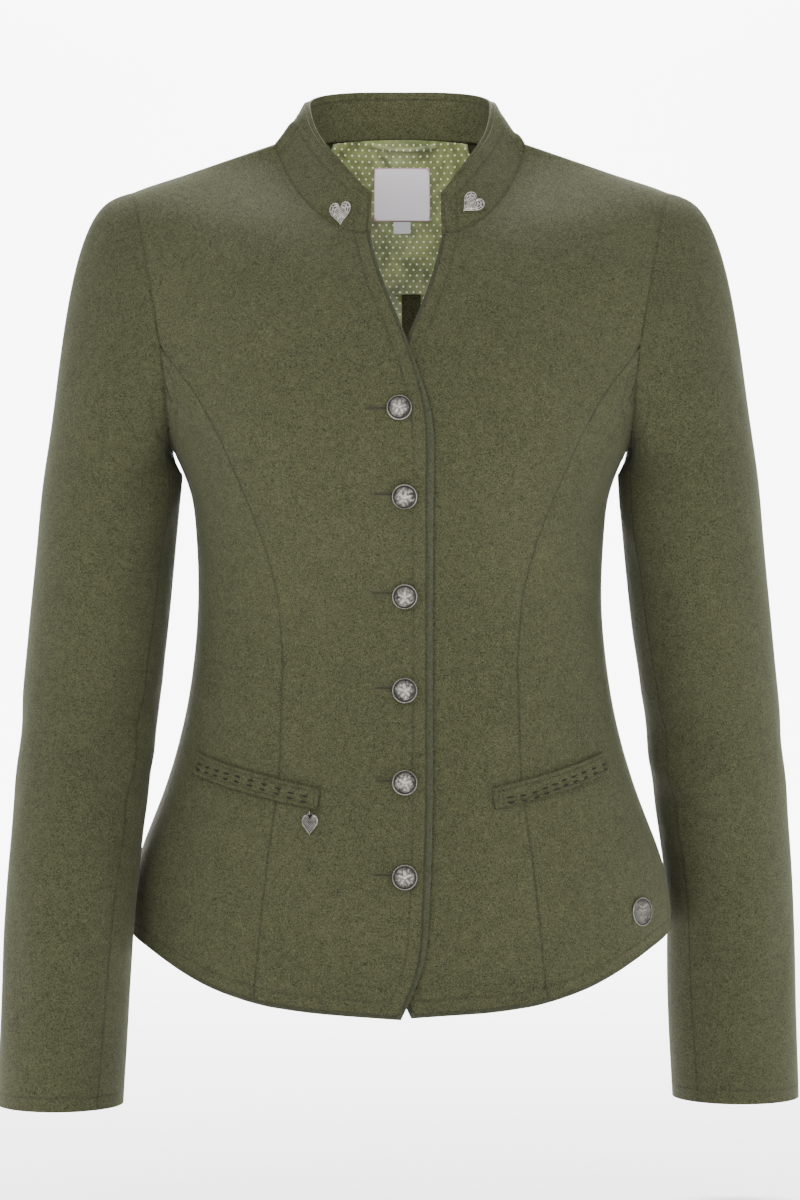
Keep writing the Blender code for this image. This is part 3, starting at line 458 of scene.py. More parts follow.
# Soft creases of the cloth. On the body across is x, on a sleeve it is degrees round from its outer side to
# the front. Columns: region, across and height of one end, of the other end, half width, height of the fold
CREASES = (
    ("front", -0.158, -0.178, -0.120, -0.212, 0.011, -0.0016),
    ("front", 0.158, -0.176, 0.118, -0.214, 0.011, -0.0018),
    ("front", 0.150, -0.196, 0.112, -0.240, 0.010, 0.0010),
    ("front", -0.134, -0.318, -0.060, -0.300, 0.012, -0.0012),
    ("front", 0.134, -0.312, 0.062, -0.296, 0.012, -0.0012),
    ("front", -0.136, -0.345, -0.070, -0.352, 0.013, -0.0009),
    ("front", 0.136, -0.342, 0.070, -0.350, 0.013, -0.0010),
    ("front", -0.150, -0.130, -0.090, -0.095, 0.016, -0.0010),
    ("front", 0.150, -0.130, 0.088, -0.098, 0.016, -0.0010),
    ("front", -0.105, -0.470, -0.095, -0.560, 0.018, 0.0012),
    ("front", 0.110, -0.465, 0.098, -0.560, 0.018, 0.0012),
    ("back", -0.150, -0.170, -0.105, -0.215, 0.013, -0.0018),
    ("back", 0.150, -0.172, 0.107, -0.212, 0.013, -0.0018),
    ("back", -0.128, -0.310, -0.040, -0.296, 0.012, -0.0018),
    ("back", 0.126, -0.304, 0.038, -0.292, 0.012, -0.0016),
    ("back", -0.120, -0.334, -0.030, -0.340, 0.010, -0.0012),
    ("back", 0.122, -0.338, 0.034, -0.336, 0.010, -0.0013),
    ("back", -0.110, -0.440, -0.092, -0.560, 0.020, 0.0016),
    ("back", 0.108, -0.436, 0.095, -0.560, 0.020, 0.0016),
    ("back", -0.050, -0.070, 0.048, -0.072, 0.018, -0.0008),
    ("right_arm", 150, -0.205, 75, -0.262, 0.012, -0.0022),
    ("right_arm", 165, -0.232, 95, -0.300, 0.011, 0.0014),
    ("right_arm", 175, -0.372, 95, -0.400, 0.010, -0.0022),
    ("right_arm", 185, -0.404, 80, -0.424, 0.009, 0.0012),
    ("right_arm", 170, -0.424, 90, -0.452, 0.010, -0.0018),
    ("right_arm", 20, -0.380, -50, -0.430, 0.014, -0.0011),
    ("right_arm", 40, -0.500, 60, -0.585, 0.014, -0.0009),
    ("left_arm", 148, -0.208, 70, -0.270, 0.012, -0.0023),
    ("left_arm", 168, -0.240, 92, -0.306, 0.011, 0.0014),
    ("left_arm", 178, -0.384, 98, -0.402, 0.010, -0.0020),
    ("left_arm", 184, -0.410, 84, -0.436, 0.009, 0.0011),
    ("left_arm", 172, -0.432, 88, -0.458, 0.010, -0.0017),
    ("left_arm", 25, -0.390, -45, -0.436, 0.014, -0.0011),
    ("left_arm", 44, -0.510, 62, -0.590, 0.014, -0.0009),
)
SLEEVE_ROUND = 0.050
UNEVEN = 0.00045
UNEVEN_SIZE = 0.055
# Creases fade in this far down a sleeve, this far behind the side seams, and below the neck
SLEEVE_FADE = 0.05
SIDE_FADE = 0.03
NECK_CALM = -0.045
NECK_FADE = 0.03
# No creases this near to the closing, whose middle is slightly to one side, and full ones from there on
CLOSING_X = 0.004
CLOSING_CALM = 0.030
CLOSING_FREE = 0.060


def crease_height(across, heights, region):
    """How far the creases of a region lift the cloth at each point"""
    lift = np.zeros(len(across))
    for place, x0, z0, x1, z1, half, height in CREASES:
        if place != region:
            continue
        scale = math.radians(1) * SLEEVE_ROUND if region.endswith("arm") else 1.0
        span = np.array([(x1 - x0) * scale, z1 - z0])
        u = (across - x0) * scale
        v = heights - z0
        t = np.clip((u * span[0] + v * span[1]) / (span @ span), 0.0, 1.0)
        off = np.hypot(u - t * span[0], v - t * span[1]) / half
        taper = np.sin(np.pi * (0.12 + 0.76 * t))
        lift += height * taper * (np.exp(-off**2) - 0.45 * np.exp(-((off - 1.7) ** 2) / 0.8))
    return lift


def settle(points, region):
    """Lays the creases and slight unevenness of worn cloth into points of one region"""
    away = outward(points, region)
    uneven = np.array([noise.noise(Vector(point) / UNEVEN_SIZE) for point in points]) * UNEVEN
    if region.endswith("arm"):
        arm = points - arm_middle(points, RIGHT_ARM if region == "right_arm" else LEFT_ARM)
        side = -1 if region == "right_arm" else 1
        turn = np.degrees(np.arctan2(-arm[:, 1], side * arm[:, 0]))
        turn = np.where(turn < -90, turn + 360, turn)
        top = np.clip((ARM_TOP - points[:, 2]) / SLEEVE_FADE, 0.0, 1.0)
        lift = crease_height(turn, points[:, 2], region) * top + uneven * top
    elif region == "collar":
        lift = np.zeros(len(points))
    else:
        front = np.clip(-points[:, 1] / SIDE_FADE, 0.0, 1.0)
        behind = np.clip(points[:, 1] / SIDE_FADE, 0.0, 1.0)
        lift = crease_height(points[:, 0], points[:, 2], "front") * front
        lift += crease_height(points[:, 0], points[:, 2], "back") * behind
        beside = (abs(points[:, 0] - CLOSING_X) - CLOSING_CALM) / (CLOSING_FREE - CLOSING_CALM)
        calm = np.where(points[:, 1] > 0, 1.0, np.clip(beside, 0.0, 1.0))
        below_neck = np.clip((NECK_CALM - points[:, 2]) / NECK_FADE, 0.0, 1.0)
        lift = (lift + uneven) * calm * below_neck
    return points + away * lift[:, None]


MERGE_NEAR = 0.00002
CELL_BEND = math.radians(60)
CELL_SKEW = math.radians(75)
CREASE_BEND = math.radians(50)


def merged_copy(node):
    """A CAD node's mesh with its loose triangles joined up and paired into four-sided cells"""
    shell = bmesh.new()
    shell.from_mesh(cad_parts[node].data)
    bmesh.ops.remove_doubles(shell, verts=shell.verts, dist=MERGE_NEAR)
    bmesh.ops.join_triangles(
        shell, faces=shell.faces, angle_face_threshold=CELL_BEND, angle_shape_threshold=CELL_SKEW
    )
    crease = shell.edges.layers.float.new("crease_edge")
    for edge in shell.edges:
        if len(edge.link_faces) == 2 and edge.calc_face_angle() > CREASE_BEND:
            edge[crease] = 1.0
    mesh = bpy.data.meshes.new(node)
    shell.to_mesh(mesh)
    shell.free()
    return mesh


def subdivided(name, mesh, levels):
    piece = link(name, mesh)
    apply(piece, "SUBSURF", levels=levels, render_levels=levels, boundary_smooth="PRESERVE_CORNERS")
    return piece


def cloth_shell(node, region, levels):
    """A smooth wall of cloth through the points of a CAD node, with its creases"""
    mesh = merged_copy(node)
    points = vertex_points(mesh)
    trial = subdivided(node, mesh.copy(), levels)
    shrunk = vertex_points(trial.data)[:len(points)]
    discard(trial)
    move_vertices(mesh, points * 2 - shrunk)
    piece = subdivided(f"{node}_cloth", mesh, levels)
    move_vertices(piece.data, settle(vertex_points(piece.data), region))
    soften(piece)
    piece["region"] = region
    return piece


def outline(piece):
    """Points close together along a wall's rims, and the face numbers of its outer and inner side"""
    shell = bmesh.new()
    shell.from_mesh(piece.data)
    crease = shell.edges.layers.float.get("crease_edge")
    rims = [edge for edge in shell.edges if edge[crease] > 0.9]
    points = []
    for edge in rims:
        a, b = (vertex.co.copy() for vertex in edge.verts)
        steps = max(1, int((b - a).length / RIM_STEP))
        points += [a.lerp(b, step / steps) for step in range(steps)]
    borders = set(rims)
    left = set(shell.faces)
    sheets = []
    while left:
        start = min(left, key=lambda face: face.index)
        sheet = {start}
        waiting = [start]
        while waiting:
            face = waiting.pop()
            for edge in face.edges:
                if edge in borders:
                    continue
                for other in edge.link_faces:
                    if other not in sheet:
                        sheet.add(other)
                        waiting.append(other)
        left -= sheet
        sheets.append(sheet)
    sheets.sort(key=lambda sheet: -sum(face.calc_area() for face in sheet))
    broad = []
    for sheet in sheets[:2]:
        faces = sorted(sheet, key=lambda face: face.index)
        centres = np.array([face.calc_center_median() for face in faces])
        normals = np.array([face.normal for face in faces])
        facing_out = float((outward(centres, piece["region"]) * normals).sum())
        broad.append((facing_out, {face.index for face in faces}))
    shell.free()
    broad.sort(key=lambda side: -side[0])
    return points, broad[0][1], broad[1][1]


def nearest(points):
    """A tree of points, for the distance to the nearest"""
    tree = KDTree(len(points))
    for index, point in enumerate(points):
        tree.insert(point, index)
    tree.balance()
    return tree


def close_seams(pieces, rims):
    """Moves the rims of neighbours, a needle's width apart, onto each other"""
    moved = {}
    for piece in pieces:
        others = nearest([point for other in pieces if other is not piece for point in rims[other.name]])
        crease = piece.data.attributes["crease_edge"].data
        sharp = [edge for edge in piece.data.edges if crease[edge.index].value > 0.9]
        spots = sorted({index for edge in sharp for index in edge.vertices})
        moved[piece.name] = []
        for index in spots:
            here = piece.data.vertices[index].co
            there, _, far = others.find(here)
            if far < SEAM_CLOSE:
                moved[piece.name].append((index, here.lerp(there, 0.5)))
    for piece in pieces:
        for index, point in moved[piece.name]:
            piece.data.vertices[index].co = point


def mark(piece, rim, others, near=SEAM_NEAR):
    """Stores how far each vertex is from the piece's raw edges and from its seams with the others' rims"""
    tree = nearest(others)
    cut = []
    sewn = []
    for point in rim:
        (sewn if others and tree.find(point)[2] < near else cut).append(point)
    for name, spots in (("edge", cut), ("seam", sewn)):
        far = np.ones(len(piece.data.vertices))
        if spots:
            tree = nearest(spots)
            far = [tree.find(vertex.co)[2] for vertex in piece.data.vertices]
        carry(piece.data, name, far)


def stitch_lines(piece, side_faces, inside):
    """Lines of points and normals on one side of a wall, a set distance inside its raw edges"""
    mesh = piece.data
    far = np.empty(len(mesh.vertices), dtype=np.float32)
    mesh.attributes["edge"].data.foreach_get("value", far)
    crossings = {}
    links = {}
    for index in sorted(side_faces):
        face = mesh.polygons[index]
        hits = []
        ring = list(face.vertices)
        for a, b in zip(ring, ring[1:] + ring[:1]):
            if (far[a] - inside) * (far[b] - inside) < 0:
                key = (min(a, b), max(a, b))
                t = (inside - far[key[0]]) / (far[key[1]] - far[key[0]])
                spot = mesh.vertices[key[0]].co.lerp(mesh.vertices[key[1]].co, float(t))
                crossings[key] = (spot, face.normal.copy())
                hits.append(key)
        if len(hits) == 2:
            links.setdefault(hits[0], []).append(hits[1])
            links.setdefault(hits[1], []).append(hits[0])
    lines = []
    unused = set(links)
    while unused:
        ends = sorted(key for key in unused if len(links[key]) == 1)
        key = ends[0] if ends else min(unused)
        line = []
        while key is not None:
            unused.discard(key)
            line.append(crossings[key])
            key = next((other for other in links[key] if other in unused), None)
        if len(line) > 2:
            lines.append(line)
    return lines


def evenly(line, every):
    """Points, directions and normals at equal steps along a line"""
    spots = []
    left = every / 2
    for (a, normal), (b, _) in zip(line, line[1:]):
        length = (b - a).length
        if length < 1e-9:
            continue
        while left <= length:
            spots.append((a.lerp(b, left / length), (b - a) / length, normal))
            left += every
        left -= length
    return spots


def stitch_form():
    """One stitch along +X, a short thread sunk at both ends"""
    bpy.ops.object.select_all(action="DESELECT")
    bpy.ops.mesh.primitive_uv_sphere_add(segments=6, ring_count=5, radius=1.0)
    form = bpy.context.active_object
    form.data.transform(Matrix.Rotation(math.pi / 2, 4, "Y"))
    form.data.transform(Matrix.Diagonal((STITCH_LONG / 2, STITCH_THICK, STITCH_THICK, 1.0)))
    points = vertex_points(form.data)
    sunk = (points[:, 0] / (STITCH_LONG / 2)) ** 2
    points[:, 2] -= sunk * STITCH_THICK * 0.9
    move_vertices(form.data, points)
    return form


def copies(name, form, placings):
    """One mesh of the same form at many places"""
    points = vertex_points(form.data)
    faces = [list(face.vertices) for face in form.data.polygons]
    corners = []
    cells = []
    for matrix in placings:
        turned = points @ np.array(matrix.to_3x3()).T + np.array(matrix.translation)
        cells += [[index + len(corners) * len(points) for index in face] for face in faces]
        corners.append(turned)
    mesh = bpy.data.meshes.new(name)
    mesh.from_pydata(np.concatenate(corners).tolist(), [], cells)
    piece = link(name, mesh)
    mesh.shade_smooth()
    return piece


def seated(point, along, out, lift=0.0):
    """The placing of a form whose X runs along and whose Z points out"""
    out = out.normalized()
    across = out.cross(along).normalized()
    ahead = across.cross(out)
    matrix = Matrix((ahead, across, out)).transposed().to_4x4()
    matrix.translation = point + out * lift
    return matrix


def topstitch(piece, side_faces, inside, form, finish):
    """A row of stitches along a piece's raw edges, or none where it has no raw edge"""
    placings = []
    for line in stitch_lines(piece, side_faces, inside):
        for point, along, out in evenly(line, STITCH_EVERY):
            placings.append(seated(point, along, out, -STITCH_THICK * 0.25))
    if not placings:
        return []
    return [wear(copies(piece.name.replace("_cloth", "_stitches"), form, placings), finish)]


def discard(piece):
    mesh = piece.data
    bpy.data.objects.remove(piece)
    bpy.data.meshes.remove(mesh)


# Small cloth pieces: node, finish, slot, subdivisions, width and length of the cut, its flat area
SMALL_CLOTH = (
    ("right_pocket_welt", "welt", "loden", 2, 0.0145, 0.087, 0.00118),
    ("left_pocket_welt", "welt", "loden", 2, 0.0145, 0.080, 0.00108),
    ("neck_label", "label", "label", 2, 0.0405, 0.0295, 0.00119),
    ("size_tab", "tab", "label", 2, 0.0123, 0.0100, 0.00010),
    ("hanger_loop", "satin", "lining", 1, 0.0100, 0.053, 0.00022),
)

# Pairs of dashes on the welts: across and height as the camera sees them at the plane of the shoulders
RIGHT_DASHES = (
    (-0.1347, -0.4174), (-0.1293, -0.4194), (-0.1233, -0.4215), (-0.1166, -0.4235), (-0.1092, -0.4255),
    (-0.1005, -0.4281), (-0.0918, -0.4308), (-0.0824, -0.4335), (-0.0737, -0.4365), (-0.0643, -0.4388),
)
LEFT_DASHES = (
    (0.0744, -0.4395), (0.0831, -0.4382), (0.0911, -0.4362), (0.0978, -0.4335), (0.1045, -0.4308),
    (0.1105, -0.4281), (0.1173, -0.4255), (0.1240, -0.4228), (0.1307, -0.4201), (0.1374, -0.4174),
)
DASH_LONG = 0.0046
DASH_WIDE = 0.00062
DASH_THICK = 0.0005
DASH_APART = 0.0034
DASH_LIFT = 0.0003

# Buttonholes: across and height of the outer end, seen as above, and across of the inner end under the button
BUTTONHOLES = (
    (-0.0221, -0.1769, -0.0060),
    (-0.0181, -0.2345, -0.0030),
    (-0.0181, -0.3008, -0.0030),
    (-0.0161, -0.3645, -0.0030),
    (-0.0154, -0.4268, -0.0040),
    (-0.0174, -0.4898, -0.0040),
)
BAR_LONG = 0.0015
BAR_THICK = 0.00022
BAR_EVERY = 0.00055
BAR_LIFT = 0.00002
# Painted shade in each slit: dark threads of this length, overlapping so much, lifted so far
SLIT_LONG = 0.0036
SLIT_LAP = 1.3
SLIT_LIFT = 0.00005
HOLE_HALF = 0.0008
EYELET = 0.0011
EYELET_BARS = 14

# The lining's top edge: the heights between which it is drawn up, and how far
LINING_SEWN_FROM = -0.008
LINING_SEWN = 0.0008
LINING_LAP = 0.0026

# Hanger loop: its cord's radius, how far its middle hangs, how much wider pressed, and how far it is raised
LOOP_CORD = 0.0012
LOOP_DROP = 0.0040
LOOP_SPREAD = 1.55
LOOP_LIFT = 0.0030

# Hard trims. Their sizes are those of the CAD part, apart from the studs, which are up to a millimetre larger
BUTTON_RADIUS = 0.0081
BUTTON_RIM = 0.0012
BUTTON_EDGE = 0.0024
BUTTON_TOP = 0.0056
BUTTON_RELIEF = 0.00035
BUTTON_TURNS = (0, -7, 4, 9, -3, 6)
SHANK_RADIUS = 0.0028
SHANK_SUNK = 0.0002
SHANK_BEVEL = 0.0003
ROPE_THICK = 0.00062
ROPE_RIDGES = 40
BADGE_RADIUS = 0.0095
BADGE_EDGE = 0.0012
BADGE_TOP = 0.0016
BADGE_RELIEF = 0.0003
BADGE_WIRE = 0.0005
HEART_WIDE = 0.0144
HEART_TALL = 0.0162
HEART_THICK = 0.0016
CHARM_WIDE = 0.0110
CHARM_TALL = 0.0122
CHARM_THICK = 0.0014
EYE_RADIUS = 0.0020
EYE_WIRE = 0.00045
STUD_TURNS = (("right_heart_stud", 8), ("left_heart_stud", -48))

# Hearts: depth of the grooves, and the granules of the charm, which end at a share of the way out
GROOVE_DEEP = 0.00022
GRANULE = 0.00075
GRANULES_END = 0.76

# The engraved hearts: rings of dashes by share of the way out, dashes, their start and length, then strokes
DASH_RINGS = ((0.84, 16, 0.0, 0.68), (0.62, 12, 0.4, 0.62))
RING_HALF = 0.035
STROKE_EVERY = 0.0015
STROKE_LEAN = 0.9
STROKES_END = 0.48
HEART_FOLD = 0.0004

# Leaves and berries in low relief: across, up, turn, long and wide half size as shares of the radius, height
BUTTON_LEAVES = (
    (0.02, 0.36, 84, 0.30, 0.12, 1.0),
    (-0.33, 0.14, 152, 0.27, 0.12, 0.9),
    (0.34, 0.10, 24, 0.28, 0.12, 1.0),
    (-0.24, -0.36, 232, 0.26, 0.11, 0.9),
    (0.22, -0.38, 300, 0.27, 0.11, 0.8),
    (0.00, -0.02, 0, 0.15, 0.14, 1.2),
    (-0.52, -0.16, 200, 0.12, 0.08, 0.7),
    (0.55, -0.16, 340, 0.12, 0.08, 0.7),
    (0.00, -0.62, 270, 0.11, 0.08, 0.7),
    (-0.30, 0.52, 120, 0.12, 0.07, 0.7),
    (0.34, 0.50, 60, 0.12, 0.07, 0.7),
)
BADGE_LEAVES = (
    (-0.20, 0.42, 150, 0.26, 0.08, 1.0),
    (0.24, 0.44, 30, 0.26, 0.08, 1.0),
    (-0.18, 0.14, 160, 0.24, 0.08, 0.8),
    (0.20, 0.14, 20, 0.24, 0.08, 0.8),
    (0.00, -0.10, 90, 0.62, 0.05, 0.9),
    (-0.24, -0.34, 40, 0.14, 0.07, 0.8),
    (0.26, -0.36, 140, 0.14, 0.07, 0.8),
)


def raise_lining(piece):
    """Draws the lining's top edge up behind the collar facing, where it is sewn in"""
    points = vertex_points(piece.data)
    near = np.clip((points[:, 2] - LINING_SEWN_FROM) / (LINING_SEWN - LINING_SEWN_FROM), 0.0, 1.0)
    points[:, 2] += near**2 * LINING_LAP
    move_vertices(piece.data, points)


def leaf_height(x, y, leaves):
    """The relief of leaves at points given as shares of the radius"""
    height = np.zeros(len(x))
    for across, up, turn, long, wide, tall in leaves:
        c = math.cos(math.radians(turn))
        s = math.sin(math.radians(turn))
        u = ((x - across) * c + (y - up) * s) / long
        v = ((y - up) * c - (x - across) * s) / wide
        vein = 1.0 - 0.35 * np.exp(-((v / 0.22) ** 2))
        height = np.maximum(height, tall * vein * np.clip(1.0 - u**4 - v**2, 0.0, 1.0) ** 0.6)
    return height


def ball(steps, rings):
    """A ball to be pressed, with each point's turn round it, its share of the way out and the front half"""
    bpy.ops.object.select_all(action="DESELECT")
    bpy.ops.mesh.primitive_uv_sphere_add(segments=steps, ring_count=rings, radius=1.0)
    piece = bpy.context.active_object
    points = vertex_points(piece.data)
    turn = np.arctan2(points[:, 1], points[:, 0])
    front = points[:, 2] > -0.0001
    share = np.arccos(np.clip(abs(points[:, 2]), 0.0, 1.0)) / (math.pi / 2)
    return piece, turn, share, front


def struck_disc(radius, low, edge, top, leaves, depth):
    """A domed disc with leaves in relief; low is its back, edge the height of its rim"""
    piece, turn, share, front = ball(72, 56)
    leaf = leaf_height(share * np.cos(turn), share * np.sin(turn), leaves)
    leaf *= np.clip((0.86 - share) / 0.10, 0.0, 1.0)
    face = edge + (top - depth - edge) * np.sqrt(np.clip(1 - (share * 0.97) ** 2, 0, 1)) + leaf * depth
    height = np.where(front, face, low + (edge - low) * share**12)
    points = np.column_stack([share * np.cos(turn) * radius, share * np.sin(turn) * radius, height])
    move_vertices(piece.data, points)
    ditch = np.clip((share - 0.84) / 0.08, 0.0, 1.0)
    carry(piece.data, "hollow", np.where(front, 0.34 + 0.30 * share - leaf * 0.5 + 0.6 * ditch, 0.8))
    return piece


def rope_ring(radius, thick, height, ridges):
    """A ring twisted like a rope"""
    bpy.ops.object.select_all(action="DESELECT")
    bpy.ops.mesh.primitive_torus_add(major_radius=1.0, minor_radius=0.5, major_segments=160, minor_segments=8)
    ring = bpy.context.active_object
    points = vertex_points(ring.data)
    turn = np.arctan2(points[:, 1], points[:, 0])
    out = np.hypot(points[:, 0], points[:, 1]) - 1.0
    twist = np.cos(ridges * turn + np.arctan2(points[:, 2], out))
    swell = 2 * thick * (1.0 + 0.16 * twist)
    reach = radius + out * swell
    placed = np.column_stack([reach * np.cos(turn), reach * np.sin(turn), height + points[:, 2] * swell])
    move_vertices(ring.data, placed)
    carry(ring.data, "hollow", 0.18 - 0.34 * twist)
    return ring


def joined(pieces):
    bpy.ops.object.select_all(action="DESELECT")
    for piece in pieces:
        piece.select_set(True)
    bpy.context.view_layer.objects.active = pieces[0]
    bpy.ops.object.join()
    soften(pieces[0], 50)
    return pieces[0]


def button_form():
    """A domed button: a rope rim, a field of leaves, and the shank behind"""
    reach = BUTTON_RADIUS - ROPE_THICK
    dome = struck_disc(reach, BUTTON_RIM, BUTTON_EDGE, BUTTON_TOP, BUTTON_LEAVES, BUTTON_RELIEF)
    rope = rope_ring(reach, ROPE_THICK, BUTTON_RIM + ROPE_THICK * 1.3, ROPE_RIDGES)
    bpy.ops.object.select_all(action="DESELECT")
    tall = BUTTON_RIM + SHANK_SUNK
    middle = (0, 0, tall / 2)
    bpy.ops.mesh.primitive_cylinder_add(vertices=20, radius=SHANK_RADIUS, depth=tall, location=middle)
    shank = bpy.context.active_object
    bpy.ops.object.transform_apply(location=True, rotation=True, scale=True)
    apply(shank, "BEVEL", width=SHANK_BEVEL, segments=2, limit_method="ANGLE")
    carry(shank.data, "hollow", np.full(len(shank.data.vertices), 0.6))
    return joined([dome, rope, shank])


def badge_form():
    """A flat round badge with a raised rim and a bare sprig"""
    disc = struck_disc(BADGE_RADIUS - 0.0003, 0.0, BADGE_EDGE, BADGE_TOP, BADGE_LEAVES, BADGE_RELIEF)
    rim = rope_ring(BADGE_RADIUS - BADGE_WIRE, BADGE_WIRE, BADGE_EDGE, 0)
    return joined([disc, rim])


# A heart's height round its outline, as shares of cosines of so many times the turn
HEART_CURVE = ((1, 0.8125), (2, -0.3125), (3, -0.125), (4, -0.0625))
HEART_LOW = 0.1914
HEART_SPAN = 1.6172


def heart_line(turn, wide, tall):
    """The outline of a heart, its lobes up, centred on its box"""
    x = np.sin(turn) ** 3
    y = sum(share * np.cos(times * turn) for times, share in HEART_CURVE)
    return x * wide / 2, (y + HEART_LOW) / HEART_SPAN * tall


def heart_form(wide, tall, thick, granules=False):
    """A heart with a rounded front, engraved with dashes and slanting strokes or filled with granules"""
    piece, turn, share, front = ball(120, 52)
    around = math.pi / 2 - turn
    x, y = heart_line(around, wide, tall)
    x = x * share
    y = y * share
    lap = (around / (2 * math.pi)) % 1.0
    if granules:
        grain = np.cos(x / GRANULE * math.pi) * np.cos(y / GRANULE * math.pi)
        groove = np.clip(0.6 - grain, 0.0, 1.0) * np.clip((GRANULES_END - share) / 0.06, 0.0, 1.0)
        groove = np.maximum(groove, np.exp(-(((share - GRANULES_END) / 0.05) ** 2)))
    else:
        slant = ((y + abs(x) * STROKE_LEAN) / STROKE_EVERY) % 1.0
        groove = np.exp(-(((slant - 0.5) / 0.16) ** 2)) * (share < STROKES_END) * (abs(x) > HEART_FOLD)
        for middle, dashes, start, long in DASH_RINGS:
            ring = np.exp(-(((share - middle) / RING_HALF) ** 2)) * ((lap * dashes + start) % 1.0 < long)
            groove = np.maximum(groove, ring)
    face = thick * (0.5 + 0.5 * (1 - share**3.2)) - groove * GROOVE_DEEP
    height = np.where(front, face, thick * 0.5 * share**10)
    move_vertices(piece.data, np.column_stack([x, y, height]))
    carry(piece.data, "hollow", np.where(front, groove * 0.95 + 0.12 * share**6, 0.5))
    soften(piece, 50)
    return piece


def seat_of(node, turn=0.0):
    """Where a flat CAD piece lies, on its back with Z out of the cloth and Y up, and its size"""
    points = vertex_points(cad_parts[node].data)
    _, ways = np.linalg.eigh(np.cov((points - points.mean(axis=0)).T))
    middle = (points.max(axis=0) + points.min(axis=0)) / 2
    out = Vector(ways[:, 0])
    if out.dot(Vector(outward(middle[None], "body")[0] * (1.0, 1.0, 0.0))) < 0:
        out.negate()
    across = Vector((0, 0, 1)).cross(out).normalized()
    up = out.cross(across)
    reach = points @ np.array((across, up, out)).T
    low = reach.min(axis=0)
    high = reach.max(axis=0)
    spot = across * float(low[0] + high[0]) / 2 + up * float(low[1] + high[1]) / 2 + out * float(low[2])
    matrix = Matrix((across, up, out)).transposed().to_4x4()
    matrix.translation = spot
    return matrix @ Matrix.Rotation(math.radians(turn), 4, "Z"), high - low


def placed_copy(name, form, matrix):
    mesh = form.data.copy()
    mesh.transform(matrix)
    return link(name, mesh)


def seen_on(tree, across, height):
    """The point and way out of the cloth that the camera sees at a place in the plane of the shoulders"""
    eye = Vector(CAMERA_AT)
    point, normal, _, _ = tree.ray_cast(eye, (Vector((across, 0.0, height)) - eye).normalized())
    return point, normal if normal.dot(eye - point) > 0 else -normal


def surface(piece):
    mesh = piece.data
    corners = [vertex.co for vertex in mesh.vertices]
    return BVHTree.FromPolygons(corners, [list(face.vertices) for face in mesh.polygons])


def thread_form(long, wide, thick):
    """A short length of thread along +X"""
    bpy.ops.object.select_all(action="DESELECT")
    bpy.ops.mesh.primitive_uv_sphere_add(segments=8, ring_count=6, radius=1.0)
    form = bpy.context.active_object
    form.data.transform(Matrix.Rotation(math.pi / 2, 4, "Y"))
    form.data.transform(Matrix.Diagonal((long / 2, wide, thick, 1.0)))
    return form


def flatten_loop(piece):
    """Presses the loop's cord into a folded strip, sewn in at the lining's top edge"""
    points = vertex_points(piece.data)
    middle = (points[:, 0].max() + points[:, 0].min()) / 2
    half = (points[:, 0].max() - points[:, 0].min()) / 2
    sag = np.clip(abs(points[:, 0] - middle) / half, 0, 1) ** 2 * LOOP_DROP
    line = points[:, 2].min() + LOOP_CORD + sag
    points[:, 2] = line + (points[:, 2] - line) * LOOP_SPREAD + LOOP_LIFT
    move_vertices(piece.data, points)


def build_small_cloth(finishes):
    """Welts, label, tab and loop, with the pairs of dashes on the welts"""
    pieces = {}
    for node, finish, slot, levels, _, _, _ in SMALL_CLOTH:
        piece = cloth_shell(node, "body", levels)
        mark(piece, outline(piece)[0], [])
        if node == "hanger_loop":
            flatten_loop(piece)
        pieces[node] = wear(piece, finishes[finish], [node])
    form = thread_form(DASH_LONG, DASH_WIDE, DASH_THICK)
    going = {}
    for node, spots in (("right_pocket_welt", RIGHT_DASHES), ("left_pocket_welt", LEFT_DASHES)):
        tree = surface(pieces[node])
        placings = []
        for index, (across, height) in enumerate(spots):
            before = spots[max(index - 1, 0)]
            after = spots[min(index + 1, len(spots) - 1)]
            along = seen_on(tree, *after)[0] - seen_on(tree, *before)[0]
            point, out = seen_on(tree, across, height)
            up = out.cross(along).normalized()
            for side, lean in ((-1, 0.04), (1, -0.03)):
                spot = point + up * side * DASH_APART / 2
                placings.append(seated(spot, along + up * along.length * lean, out, DASH_LIFT))
        going[node] = copies(node.replace("pocket_welt", "welt_dashes"), form, placings)
        wear(going[node], finishes["dark_thread_and_slit_shade"])
    discard(form)
    for node, _, _, _, width, length, area in SMALL_CLOTH:
        [going[node]] if node in going else []


